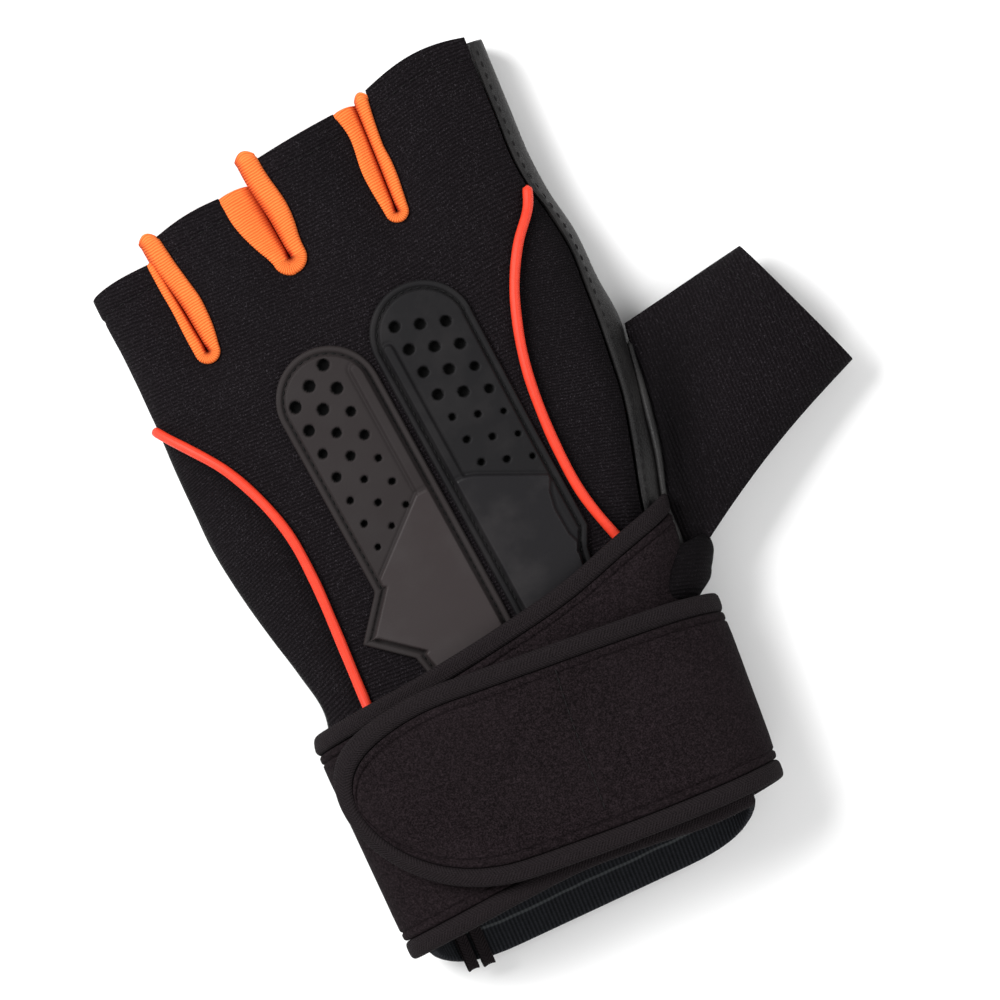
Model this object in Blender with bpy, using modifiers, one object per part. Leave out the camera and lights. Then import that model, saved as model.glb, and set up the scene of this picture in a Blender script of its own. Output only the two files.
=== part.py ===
"""A left-hand fingerless weightlifting glove, lying on its palm with its wrist strap wound and closed.

X points to the thumb side, Y to the fingers and Z up out of the back of the hand. The surface that the
glove lies on is Z = 0. Sizes are in millimetres until a mesh is made, which is in metres.

The hand is a hollow bag: a knitted back in three panels, a leather palm and a leather strip along the
index finger, joined between the fingers by three stretch gussets. Each cross-section of the bag is half
a superellipse above the side seams (the back) and half a superellipse below them (the palm).
"""

import math

import bmesh
import bpy
import mathutils
import numpy as np

MM = 0.001

# The hand, laid flat
HAND_LENGTH = 135.0  # cuff seam to the index finger's hem
HAND_WIDTH = 106.8  # across the knuckles
HAND_HEIGHT = 25.5  # table to the top of the knuckles
KNIT_WALL = 1.3
LEATHER_WALL = 1.2
CLEARANCE = 0.3  # between pieces that lie on each other
SEAM_GAP = 0.9  # between the back and the palm along the side seams
PANEL_GAP = 0.6  # between two panels that meet under a piping

# The wrist
WRIST_WIDTH = 87.8
WRIST_HEIGHT = 23.0
WRIST_OFFSET = -3.4  # the wrist's middle, from the hand's middle
CUFF_LENGTH = 60.5
CUFF_SLANT = 14.0  # how much shorter the cuff is on the back than on the palm
CUFF_WALL = 1.8
CUFF_TAPER = 5.0  # how far the cuff's thumb side comes in towards its free end

# The wrist strap
STRAP_LENGTH = 308.0
STRAP_WIDTH = 49.0
STRAP_THICKNESS = 3.2
STRAP_CLEARANCE = 0.6  # between the strap's turns, and from the first turn to the cuff
STRAP_START = 8.5  # the sewn end's place on the back, from the side seam by the thumb
STRAP_END_LENGTH = 35.0  # length of the rounded end
BINDING_WIDTH = 4.6
BINDING_THICKNESS = 3.4
BINDING_GAP = 0.6  # between the strap and its binding

# The thumb
THUMB_LENGTH = 48.0
THUMB_ANGLE = 20.0  # degrees from X towards the fingers
THUMB_MOUTH_WIDTH = 37.0
THUMB_MOUTH_HEIGHT = 17.0
THUMB_MOUTH_OFFSET = 1.0  # the mouth's middle, from the thumb's axis towards the fingers
THUMB_BASE_RISE = 6.0  # thumb hole above the side seam
THUMB_BASE_DROP = 7.0  # thumb hole below the side seam
THUMB_SWELL = 2.4  # how far the thumb's middle stands out of a straight loft, up and down
THUMB_SWELL_BACK = 1.9  # the same on the side away from the fingers
THUMB_POWER = 0.8  # sine power of the mouth's oval
THUMB_FIRST_TURN = 0.15  # radians of the mouth that the thumb hole's lower end takes
WELT_DIAMETER = 1.6
WELT_ENDS = (0.45, 0.86)  # the thumb welt's ends, as shares of the thumb hole's length
WELT_LEAN = 20.4  # degrees from Z to the thumb side, in which the welt stands off its seam

# Gussets, pipings and pads
GUSSET_WALL = 1.0
GUSSET_ROLL = 4.0  # width of a full roll beside the knit
GUSSET_CREASE = 0.7  # gap between two arms of a gusset
ROLL_RISE = 1.3
VALLEY_DEPTH = 3.2  # how far the back dips between two fingers
VALLEY_REACH = 7.0
PIPING_DIAMETER = 2.3
PIPING_CLEARANCE = 0.8  # at least, between a piping and the pad beside it
PAD_WIDTH = 24.8
PAD_GAP = 1.2
PAD_ANGLE = 3.74  # degrees between the pads' middle line and Y
PAD_FLANGE = 1.9
PAD_FLANGE_HEIGHT = 1.3
PAD_FIELD_HEIGHT = 1.8
PAD_RAISED_HEIGHT = 2.6
PAD_RIB_WIDTH = 3.8
PAD_TUCK = 4.0  # length of a pad under the strap
HOLE_DIAMETER = 2.8  # the largest holes
TAPE_WIDTH = 4.0
TAPE_THICKNESS = 1.0
TAPE_LENGTH = 14.0
TAPE_SHOW = 2.2  # length of a tape end past the cuff

BACK_POWER = 2.4  # superellipse power of the back
PALM_POWER = 3.0  # superellipse power of the palm's two edges
PALM_FLAT = 0.45  # share of the palm's half width that lies flat

# The bag's sections. along: share of HAND_LENGTH from the cuff seam. left, right: 0 where the bag is as
# wide as the wrist and 1 where it is as wide as the hand. side: height of the side seam, and crown: height
# of the back, as shares of the height at the wrist or hand. sole: share of the strap's lift under the palm.
# hand: 0 where the height is the wrist's and 1 where it is the hand's.
BAG_SECTIONS = (
    # along, left, right, side, crown, sole, hand
    (0.00, 0.00, 0.00, 0.58, 1.00, 1.00, 0.0),
    (0.05, -0.25, 0.35, 0.54, 0.99, 0.95, 0.2),
    (0.13, 0.00, 0.52, 0.49, 1.00, 0.60, 0.5),
    (0.21, 0.39, 0.75, 0.46, 1.02, 0.25, 0.8),
    (0.30, 0.76, 0.86, 0.44, 1.04, 0.05, 1.0),
    (0.40, 1.00, 1.00, 0.42, 1.04, 0.00, 1.0),
    (0.45, 1.00, 1.08, 0.41, 1.03, 0.00, 1.0),
    (0.53, 1.00, 1.03, 0.40, 1.02, 0.00, 1.0),
    (0.62, 0.94, 1.02, 0.39, 1.00, 0.00, 1.0),
    (0.70, 0.94, 0.89, 0.38, 0.96, 0.00, 1.0),
    (0.76, 0.97, 0.85, 0.38, 0.92, 0.00, 1.0),
    (0.86, 1.05, 0.89, 0.38, 0.85, 0.00, 1.0),
    (1.00, 1.07, 0.96, 0.38, 0.79, 0.00, 1.0),
)

# The seam between the knit and the leather strip. along: share of HAND_LENGTH; across: share of half
# HAND_WIDTH.
STRIP_SEAM = (
    # along, across
    (0.00, 0.700),
    (0.17, 0.779),
    (0.25, 0.839),
    (0.32, 0.884),
    (0.44, 0.923),
    (0.51, 0.940),
    (0.585, 0.953),
    (0.667, 0.934),
    (0.74, 0.897),
    (0.867, 0.904),
    (1.00, 0.927),
)

# The pipings, from their top ends down to the cuff seam, in the same shares.
PIPING_ROUTES = {
    "little": (
        # along, across
        (0.612, -0.985),
        (0.590, -0.950),
        (0.560, -0.895),
        (0.504, -0.796),
        (0.433, -0.713),
        (0.357, -0.660),
        (0.270, -0.644),
        (0.186, -0.648),
        (0.120, -0.655),
        (0.020, -0.665),
    ),
    "index": (
        (0.722, 0.885),
        (0.688, 0.850),
        (0.641, 0.755),
        (0.582, 0.667),
        (0.518, 0.605),
        (0.442, 0.558),
        (0.362, 0.536),
        (0.287, 0.532),
        (0.210, 0.545),
        (0.125, 0.597),
        (0.080, 0.635),
    ),
}

# The gussets. crotch and tip: the crease's ends, as (across, along) shares of the hand. Each row of
# widths: share of the crease's length from the crotch, then the left and right rolls as shares of
# GUSSET_ROLL. left_end and right_end: how far the rolls reach past the hems, in GUSSET_ROLLs.
GUSSETS = {
    "little_ring": {
        "crotch": (-0.650, 0.696),
        "tip": (-0.700, 0.894),
        "widths": ((0.0, 0.58, 0.58), (0.4, 0.50, 0.72), (0.7, 0.45, 0.85), (1.0, 0.45, 0.75)),
        "left_end": 0.05,
        "right_end": 0.45,
    },
    "ring_middle": {
        "crotch": (-0.158, 0.781),
        "tip": (-0.191, 0.955),
        "widths": ((0.0, 0.95, 0.95), (0.25, 1.45, 1.03), (0.6, 1.90, 1.12), (1.0, 1.95, 1.05)),
        "left_end": 0.05,
        "right_end": 0.75,
    },
    "middle_index": {
        "crotch": (0.342, 0.776),
        "tip": (0.372, 0.972),
        "widths": ((0.0, 0.65, 0.65), (0.4, 1.02, 0.62), (0.8, 1.00, 0.70), (1.0, 1.40, 0.85)),
        "left_end": 0.05,
        "right_end": 0.05,
    },
}

# The fingers' hems. left and right: ends of the hem, as shares of HAND_LENGTH; bulge: its rise between
# them, in the same share.
HEMS = (
    # left, right, bulge
    (0.855, 0.873, 0.005),
    (0.909, 0.923, 0.005),
    (0.957, 0.971, 0.001),
    (0.985, 0.997, 0.016),
)
PALM_HEM_SETBACK = 0.015  # how much shorter the palm's fingers are, as a share of HAND_LENGTH

# The strap's course. share: of STRAP_LENGTH from the sewn end. centre: its middle line, as a share of
# CUFF_LENGTH from the cuff seam. width: in STRAP_WIDTHs.
STRAP_COURSE = (
    # share, centre, width
    (0.00, -0.275, 1.50),
    (0.04, -0.305, 1.42),
    (0.087, -0.330, 1.29),
    (0.14, -0.345, 1.20),
    (0.19, -0.340, 1.10),
    (0.25, -0.335, 1.02),
    (0.31, -0.365, 1.02),
    (0.45, -0.440, 1.00),
    (0.60, -0.490, 0.93),
    (0.66, -0.465, 0.92),
    (0.72, -0.440, 0.97),
    (0.77, -0.420, 0.99),
    (0.85, -0.385, 1.00),
    (0.90, -0.358, 1.00),
    (0.95, -0.315, 1.00),
    (1.00, -0.235, 1.00),
)

# The pads' outer edges. down: share of the way from the top to the strap. width: in PAD_WIDTHs.
PAD_EDGES = {
    "little": ((0.00, 1.00), (0.72, 0.99), (0.84, 1.32), (0.95, 0.95), (1.00, 0.92)),
    "index": ((0.00, 1.00), (0.60, 0.98), (0.90, 0.98), (0.96, 0.88), (1.00, 0.86)),
}
# The tops of the pads, and the line where the raised field starts at the rib and at the outer edge, as
# shares of HAND_LENGTH.
PAD_TOPS = {"little": 0.630, "index": 0.652}
PAD_FIELD_ENDS = {"little": (0.345, 0.212), "index": (0.335, 0.255)}
PAD_MIDDLE = (-0.022, 0.573)  # a point of the pads' middle line, as shares across and along
PAD_HOLE_STEPS = {
    # (across, down) of one row and of one hole in a row, in PAD_WIDTHs; first hole; holes in each row
    "little": {"row": (-0.008, 0.249), "hole": (-0.214, 0.139), "first": (0.397, 0.190)},
    "index": {"row": (0.017, 0.246), "hole": (0.219, 0.089), "first": (0.294, 0.318)},
}
# The holes of each row: row, first place in the row, and the holes' sizes in HOLE_DIAMETERs.
PAD_HOLE_ROWS = {
    "little": (
        (0, 0, (1.0,)),
        (1, -1, (1.0, 1.0)),
        (2, -2, (1.0, 1.0, 0.82)),
        (3, -2, (0.95, 0.82, 0.82)),
        (4, -2, (0.80, 0.80, 0.60)),
        (5, -2, (0.80, 0.60, 0.60)),
        (6, -2, (0.60, 0.60, 0.52)),
        (7, -2, (0.60, 0.52)),
        (8, -2, (0.52,)),
    ),
    "index": (
        (0, 0, (0.93, 0.93, 0.93)),
        (1, 0, (0.93, 0.93, 0.93)),
        (2, 0, (0.93, 0.93, 0.78)),
        (3, 0, (0.93, 0.93, 0.78)),
        (4, 0, (0.60, 0.60, 0.50)),
        (5, 0, (0.60, 0.60, 0.50)),
        (6, 0, (0.60, 0.60, 0.50)),
    ),
}

# Where the pieces start and end, as shares of HAND_LENGTH
OUTER_KNUCKLES = {"little": 0.64, "index": 0.74}  # where the outer fingers start, at the sides
THUMB_HOLE_TOP = 0.44
THUMB_BASE_END = 0.24  # where the thumb hole's almond shape is cut off at the wrist
STRIP_TIP = 2.0  # how far below its outer knuckle a side panel ends, in millimetres
STRIP_TIP_WIDTH = 0.6
STRAP_MIDDLE = -0.42  # where the strap's length is measured, as a share of CUFF_LENGTH
STRAP_CORNER = 14.0  # length of strap that counts as much as a radian of its turning
STRAP_CLIMB = 14.0  # places before its second turn in which the strap climbs onto itself
TUCK_FLAT = 7.0  # width of the strap's upper edge that lies on the pads, and of its slope to the cuff
TUCK_SLOPE = 28.0
TUCK_PLACES = (0.05, 0.14, 0.79, 0.99)  # where that edge rises and comes down, as shares of the back
TAPE_PLACES = (-0.84, -0.745)  # the cuff tapes, as shares of half the wrist's width

# Mesh density
SEAM_SHARE = 0.42  # height of the side seam, in HAND_HEIGHTs, in the section that the places are spaced on
RING_PLACES = 160  # places round a section: 0 at the thumb's side seam, half of them over the back
FINGER_COLUMNS = 4
HAND_ROWS = 12
ROW_ABOVE = 0.95 * HAND_LENGTH * OUTER_KNUCKLES["little"] / HAND_ROWS  # less than the space of two rows
OUTER_ROWS = (0.0, 0.06, 0.12, 0.34, 0.56, 0.78, 1.0)  # along the outer side of an outer finger
GUSSET_ROWS = (0.0, 0.25, 0.5, 0.75, 1.0)
GUSSET_PROFILE = ((0.0, 0.0), (0.30, 0.9), (0.68, 1.0), (1.0, -0.1))  # a lip's (across, rise) shares
HOLE_ROWS = 7  # of these, the rows beside the thumb hole
PALM_COLUMNS = 3
STRIP_COLUMNS = 2
SEAM_COLUMN = 0.07  # share of a panel's width from a seam to the column beside it
SIDE_COLUMNS = 4
THUMB_ROWS = 6
CUFF_COLUMNS = 30
CUFF_ROWS = 3
STRAP_STATIONS = 62
STRAP_ROW_SHARES = (0.0, 0.20, 0.38, 0.52, 0.65, 0.77, 0.89, 1.0)
TIP_STATIONS = 9
PIPING_POINTS = 20
PAD_EDGE_POINTS = 24
WELT_POINTS = 7
HOLE_SIDES = 8
PAD_STEP = 0.4  # width of the slope between two heights of a pad
PAD_UPPER_ROWS = 4
PAD_LOWER_ROWS = 3

LAYER = STRAP_CLEARANCE + BINDING_THICKNESS  # one turn of the strap, which also lifts the wrist
HALF = RING_PLACES // 2
FINGERS = ("index", "middle", "ring", "little")
GUSSET_ORDER = ("middle_index", "ring_middle", "little_ring")
DIAGONAL = math.sqrt(0.5)


def smooth(at, points, values):
    """A smooth curve through the points, read at a place or an array of places."""
    points = np.asarray(points, float)
    values = np.asarray(values, float)
    slopes = np.gradient(values, points)
    first = np.clip(np.searchsorted(points, at) - 1, 0, len(points) - 2)
    width = points[first + 1] - points[first]
    step = np.clip((at - points[first]) / width, 0.0, 1.0)
    start = values[first] * (1 + 2 * step) * (1 - step) ** 2 + slopes[first] * width * step * (1 - step) ** 2
    end = values[first + 1] * (3 - 2 * step) * step**2 - slopes[first + 1] * width * (1 - step) * step**2
    return start + end


def ease(value, low, high):
    """0 below low, 1 above high and smooth between them."""
    share = np.clip((value - low) / (high - low), 0.0, 1.0)
    return share * share * (3 - 2 * share)


def bag(y):
    """The bag's left and right ends, side seam height, crown height and sole height at y."""
    columns = list(zip(*BAG_SECTIONS))
    share = np.clip(np.asarray(y, float) / HAND_LENGTH, 0.0, 1.0)
    left, right, side, crown, sole, hand = (smooth(share, columns[0], column) for column in columns[1:])
    wrist_left = WRIST_OFFSET - WRIST_WIDTH / 2
    wrist_right = WRIST_OFFSET + WRIST_WIDTH / 2
    wrist_top = LAYER + WRIST_HEIGHT
    top = wrist_top + (HAND_HEIGHT - wrist_top) * hand
    taper = CUFF_TAPER * np.clip(-np.asarray(y, float) / CUFF_LENGTH, 0.0, 1.0)
    return (
        wrist_left + left * (-HAND_WIDTH / 2 - wrist_left),
        wrist_right + right * (HAND_WIDTH / 2 - wrist_right) - taper,
        side * top,
        crown * top,
        np.maximum(sole, 0.0) * LAYER,
    )


def unit_half(power, flat, height):
    """Half a section, from +1 to -1 across, as evenly spaced (across, height) shares."""
    angle = np.linspace(0.0, math.pi, 20 * RING_PLACES + 1)
    cosine = np.cos(angle)
    across = np.sign(cosine) * (flat + (1 - flat) * np.abs(cosine) ** (2 / power))
    across[np.abs(cosine) < 1e-9] = 0.0
    rise = np.sin(angle).clip(0.0) ** (2 / power)
    steps = np.hypot(np.diff(across) * HAND_WIDTH / 2, np.diff(rise) * height)
    length = np.concatenate([[0.0], np.cumsum(steps)])
    even = np.linspace(0.0, length[-1], HALF + 1)
    return np.interp(even, length, across), np.interp(even, length, rise), length[-1] / HALF


SECTION_SIDE = SEAM_SHARE * HAND_HEIGHT
BACK_ACROSS, BACK_RISE, BACK_STEP = unit_half(BACK_POWER, 0.0, HAND_HEIGHT - SECTION_SIDE)
PALM_ACROSS, PALM_DROP, PALM_STEP = unit_half(PALM_POWER, PALM_FLAT, SECTION_SIDE)
RING_ACROSS = np.concatenate([BACK_ACROSS, PALM_ACROSS[::-1][1:]])
RING_RISE = np.concatenate([BACK_RISE, np.zeros(HALF)])
RING_DROP = np.concatenate([np.zeros(HALF), PALM_DROP[::-1]])


def valley(x, y):
    """How far the back dips between the fingers."""
    depth = np.zeros(np.broadcast(x, y).shape)
    for gusset in GUSSETS.values():
        crotch = gusset["crotch"][1] * HAND_LENGTH
        beside = (x - crease_x(gusset, y)) / VALLEY_REACH
        depth = depth + VALLEY_DEPTH * np.exp(-beside**2) * ease(y, crotch - 2 * VALLEY_REACH, crotch)
    return depth


def crease_x(gusset, y):
    """The crease's x at y, on the straight line from the crotch to the tip and past them."""
    across, along = np.array([gusset["crotch"], gusset["tip"]]).T
    share = (y / HAND_LENGTH - along[0]) / (along[1] - along[0])
    return (across[0] + (across[1] - across[0]) * share) * HAND_WIDTH / 2


def skin(y, place, out=0.0):
    """Points of the bag, or of the cuff where y is negative, moved outwards by out."""
    y, place, out = np.broadcast_arrays(np.asarray(y, float), np.asarray(place, float), out)
    left, right, side, crown, sole = bag(y)
    ring = np.arange(RING_PLACES + 1)

    def section(at):
        across, rise, drop = (
            np.interp(at % RING_PLACES, ring, column) for column in (RING_ACROSS, RING_RISE, RING_DROP)
        )
        x = (left + right) / 2 + (right - left) / 2 * across
        return x, side + (crown - side) * rise - (side - sole) * drop, rise

    x, z, rise = section(place)
    ahead = section(place + 0.5)
    behind = section(place - 0.5)
    along_x = ahead[0] - behind[0]
    along_z = ahead[1] - behind[1]
    length = np.hypot(along_x, along_z)
    z = z - valley(x, y) * ease(rise, 0.0, 0.6)
    return np.stack([x + along_z / length * out, y, z - along_x / length * out], axis=-1)


def back_place(x, y):
    """The place on the back at x."""
    left, right = bag(y)[:2]
    across = (2 * x - left - right) / (right - left)
    return np.interp(-across, -BACK_ACROSS, np.arange(HALF + 1))


def palm_place(x, y):
    """The place on the palm at x."""
    left, right = bag(y)[:2]
    across = (2 * x - left - right) / (right - left)
    return np.interp(across, PALM_ACROSS[::-1], np.arange(HALF, RING_PLACES + 1))


def seam_x(table, y):
    """The x of a seam or piping, from its table of (along, across)."""
    along, across = np.array(sorted(table)).T
    return smooth(np.asarray(y) / HAND_LENGTH, along, across) * HAND_WIDTH / 2


def strip_place(y):
    """The place on the back of the seam between the knit and the leather strip."""
    return back_place(seam_x(STRIP_SEAM, y), y)


def piping_place(name, y):
    """The place on the back of a piping: its route, or beside the pad's outer edge where the pad is near."""
    length = pad_length(name)
    down = np.linspace(length, PAD_WIDTH / 2, PAD_EDGE_POINTS)
    x, pad_y = pad_point(name, pad_width(name, down, length), down).T
    side = np.sign(x[0])
    beside = np.abs(np.interp(y, pad_y, x)) + PIPING_DIAMETER / 2 + PIPING_CLEARANCE
    beside = np.where(np.asarray(y) > pad_y[-1], 0.0, beside)
    return back_place(side * np.maximum(np.abs(seam_x(PIPING_ROUTES[name], y)), beside), y)


def material(name, colour, roughness):
    """A Principled BSDF material."""
    made = bpy.data.materials.new(name)
    made.use_nodes = True
    shader = made.node_tree.nodes["Principled BSDF"]
    shader.inputs["Base Color"].default_value = (*colour, 1.0)
    shader.inputs["Roughness"].default_value = roughness
    shader.inputs["Metallic"].default_value = 0.0
    return made


def add_mesh(name, points, faces, finish):
    """A mesh object in the glove's collection, from points in millimetres from the cuff seam."""
    mesh = bpy.data.meshes.new(name)
    mesh.from_pydata((points * MM).tolist(), [], faces)
    made = bpy.data.objects.new(name, mesh)
    made.data.materials.append(finish)
    bpy.data.collections["weightlifting_glove"].objects.link(made)
    mesh.shade_smooth()
    return made


def weld(made):
    """Joins the points of a mesh that lie in one place."""
    shape = bmesh.new()
    shape.from_mesh(made.data)
    bmesh.ops.remove_doubles(shape, verts=shape.verts, dist=0.001 * MM)
    shape.to_mesh(made.data)
    shape.free()


def patch_faces(rows, columns, first):
    """The quads of a grid of points, numbered row by row from first."""
    corner = first + np.arange(rows - 1)[:, None] * columns + np.arange(columns - 1)
    quads = np.stack([corner, corner + columns, corner + columns + 1, corner + 1], axis=-1)
    return quads.reshape(-1, 4).tolist()


def add_sheet(name, patches, wall, finish, offset=-1.0):
    """A sewn panel: grids of points joined where they touch, thickened by wall."""
    points = []
    faces = []
    for patch in patches:
        faces += patch_faces(patch.shape[0], patch.shape[1], sum(map(len, points)))
        points.append(patch.reshape(-1, 3))
    made = add_mesh(name, np.concatenate(points), faces, finish)
    weld(made)
    thicken = made.modifiers.new("wall", "SOLIDIFY")
    thicken.thickness = wall * MM
    thicken.offset = offset
    thicken.use_even_offset = True
    thicken.thickness_clamp = 0.0
    return made


def hem_y(finger, side):
    """The y of a finger's hem at its little finger side (0) or thumb side (1)."""
    return HEMS[len(FINGERS) - 1 - FINGERS.index(finger)][side] * HAND_LENGTH


def gusset_edge(name, side, finger, inset, widths, setback=0.0):
    """The (x, y) points of one edge beside a gusset, from the crotch to the finger's hem.

    side is 1 on the thumb side of the crease and -1 on the other; widths gives the edge's distance from the
    crease for a share of the crease, and inset moves the edge towards the crease.
    """
    gusset = GUSSETS[name]
    crotch_y = gusset["crotch"][1] * HAND_LENGTH
    top = hem_y(finger, 0 if side > 0 else 1) - setback
    share = np.array(GUSSET_ROWS)
    y = crotch_y + (top - crotch_y) * share
    x = crease_x(gusset, y) + side * (widths(share) - inset)
    radius = widths(0.0) - inset
    round_x = crease_x(gusset, crotch_y) + side * np.array([0.0, DIAGONAL]) * radius
    round_y = crotch_y - np.array([1.0, DIAGONAL]) * radius
    return np.concatenate([round_x, x]), np.concatenate([round_y, y])


def knit_widths(name, side):
    """The distance of the knit's edge from the crease, as a function of the share of the crease."""
    table = np.array(GUSSETS[name]["widths"]).T
    rolls = table[1 if side < 0 else 2]

    def width(share):
        return np.interp(share, table[0], rolls) * GUSSET_ROLL

    return width


def slit_widths(share):
    """The distance of the palm's edge from the crease."""
    return np.full(np.shape(share), GUSSET_CREASE / 2)


def outer_edge(finger, setback=0.0):
    """The y of the rows along the outer side of the little or index finger."""
    low = OUTER_KNUCKLES[finger] * HAND_LENGTH
    top = hem_y(finger, 0 if finger == "little" else 1) - setback
    return low + (top - low) * np.array(OUTER_ROWS)


def column_shares(columns, first_seam, last_seam):
    """Even shares across a panel, with one more column close to each edge that is a seam."""
    share = np.linspace(0.0, 1.0, columns + 1)
    if first_seam:
        share = np.insert(share, 1, SEAM_COLUMN)
    if last_seam:
        share = np.insert(share, -1, 1 - SEAM_COLUMN)
    return share


def finger_patch(finger, first, last, share):
    """(y, place) arrays of a finger's panel, between its two edges, each given as (y, place)."""
    bulge = HEMS[len(FINGERS) - 1 - FINGERS.index(finger)][2] * HAND_LENGTH
    y = first[0][:, None] * (1 - share) + last[0][:, None] * share
    place = first[1][:, None] * (1 - share) + last[1][:, None] * share
    upper = np.linspace(0.0, 1.0, len(first[0]))[:, None] ** 2
    return y + bulge * np.sin(math.pi * share) * upper, place


def hand_patch(fingers, rows, first_place, last_place):
    """(y, place) arrays of the panel from the cuff seam to the fingers' lower rows, column by column."""
    top_y = np.concatenate([fingers[0][0][0]] + [finger[0][0][1:] for finger in fingers[1:]])
    top_place = np.concatenate([fingers[0][1][0]] + [finger[1][0][1:] for finger in fingers[1:]])
    first = first_place(top_y)
    last = last_place(top_y)
    share = (top_place - first) / (last - first)
    y = rows[:, None] * top_y
    first = first_place(y)
    return y, first + share * (last_place(y) - first)


def thumb_side_of_back(y):
    """The place of the knit back's edge on the thumb side: the piping, and above it the leather strip."""
    gap = PANEL_GAP / 2 / BACK_STEP
    piping = piping_place("index", y) + gap
    strip = strip_place(y) + gap
    knuckle = OUTER_KNUCKLES["index"] * HAND_LENGTH
    return piping + (strip - piping) * ease(y, knuckle - ROW_ABOVE, knuckle)


def little_side_of_back(y):
    """The place of the knit back's edge on the little finger side: the piping, then the side seam."""
    piping = piping_place("little", y) - PANEL_GAP / 2 / BACK_STEP
    seam = HALF - SEAM_GAP / 2 / BACK_STEP
    knuckle = OUTER_KNUCKLES["little"] * HAND_LENGTH
    return piping + (seam - piping) * ease(y, knuckle - ROW_ABOVE, knuckle)


def add_back_panel(finish):
    """The knit back, from the cuff seam to the fingers' hems, with a slit for each gusset."""
    thumb_y = outer_edge("index")
    edges = [(thumb_y, thumb_side_of_back(thumb_y))]
    for name, before, after in zip(GUSSET_ORDER, FINGERS, FINGERS[1:]):
        for side, finger in ((1, before), (-1, after)):
            x, y = gusset_edge(name, side, finger, 0.0, knit_widths(name, side))
            edges.append((y, back_place(x, y)))
    little_y = outer_edge("little")
    edges.append((little_y, little_side_of_back(little_y)))
    fingers = [
        finger_patch(
            finger,
            edges[2 * i],
            edges[2 * i + 1],
            column_shares(FINGER_COLUMNS, finger == "index", finger == "little"),
        )
        for i, finger in enumerate(FINGERS)
    ]
    rows = np.linspace(0.0, 1.0, HAND_ROWS + 1)
    hand = hand_patch(fingers, rows, thumb_side_of_back, little_side_of_back)
    return add_sheet("back_panel", [skin(*patch) for patch in [hand, *fingers]], KNIT_WALL, finish)


def add_little_side_panel(finish):
    """The knit side panel between the piping and the side seam of the little finger."""
    y = np.linspace(0.0, 1.0, HAND_ROWS + 1) * OUTER_KNUCKLES["little"] * HAND_LENGTH
    last = np.full(len(y), HALF - SEAM_GAP / 2 / BACK_STEP)
    first = piping_place("little", y) + PANEL_GAP / 2 / BACK_STEP
    y[-1] -= STRIP_TIP
    first[-1] = last[-1] - STRIP_TIP_WIDTH / BACK_STEP
    share = column_shares(SIDE_COLUMNS, False, True)
    place = first[:, None] * (1 - share) + last[:, None] * share
    return add_sheet("side_panel_little", [skin(y[:, None], place)], KNIT_WALL, finish)


def add_index_side_panel(finish):
    """The knit side panel between the piping and the leather strip of the index finger."""
    y = np.linspace(0.0, 1.0, HAND_ROWS + 1) * OUTER_KNUCKLES["index"] * HAND_LENGTH
    first = strip_place(y) + PANEL_GAP / 2 / BACK_STEP
    last = piping_place("index", y) - PANEL_GAP / 2 / BACK_STEP
    y[-1] -= STRIP_TIP
    last[-1] = first[-1] + STRIP_TIP_WIDTH / BACK_STEP
    share = column_shares(SIDE_COLUMNS, True, False)
    place = first[:, None] * (1 - share) + last[:, None] * share
    return add_sheet("side_panel_index", [skin(y[:, None], place)], KNIT_WALL, finish)


def palm_rows():
    """Shares of the way from the cuff seam to the fingers, with a row at the top of the thumb hole."""
    hole = THUMB_HOLE_TOP / OUTER_KNUCKLES["index"]
    above = np.linspace(hole, 1.0, HAND_ROWS - HOLE_ROWS + 1)
    return np.concatenate([np.linspace(0.0, hole, HOLE_ROWS + 1), above[1:]])


def hole_share(y):
    """How far up the thumb hole y is, from 0 to 1."""
    return np.clip(y / (THUMB_HOLE_TOP * HAND_LENGTH), 0.0, 1.0)


def hole_palm_place(y):
    """The place of the thumb hole's edge on the palm."""
    share = hole_share(y)
    drop = THUMB_BASE_DROP * np.sin(math.pi * (THUMB_BASE_END + (1 - THUMB_BASE_END) * share))
    return RING_PLACES - np.maximum(drop, 0.0) / PALM_STEP


def hole_back_place(y):
    """The place of the thumb hole's edge on the back, counted on past the palm."""
    share = hole_share(y)
    rise = THUMB_BASE_RISE * np.sin(math.pi * (THUMB_BASE_END + (1 - THUMB_BASE_END) * share)) ** 2
    return RING_PLACES + rise / BACK_STEP


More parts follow.
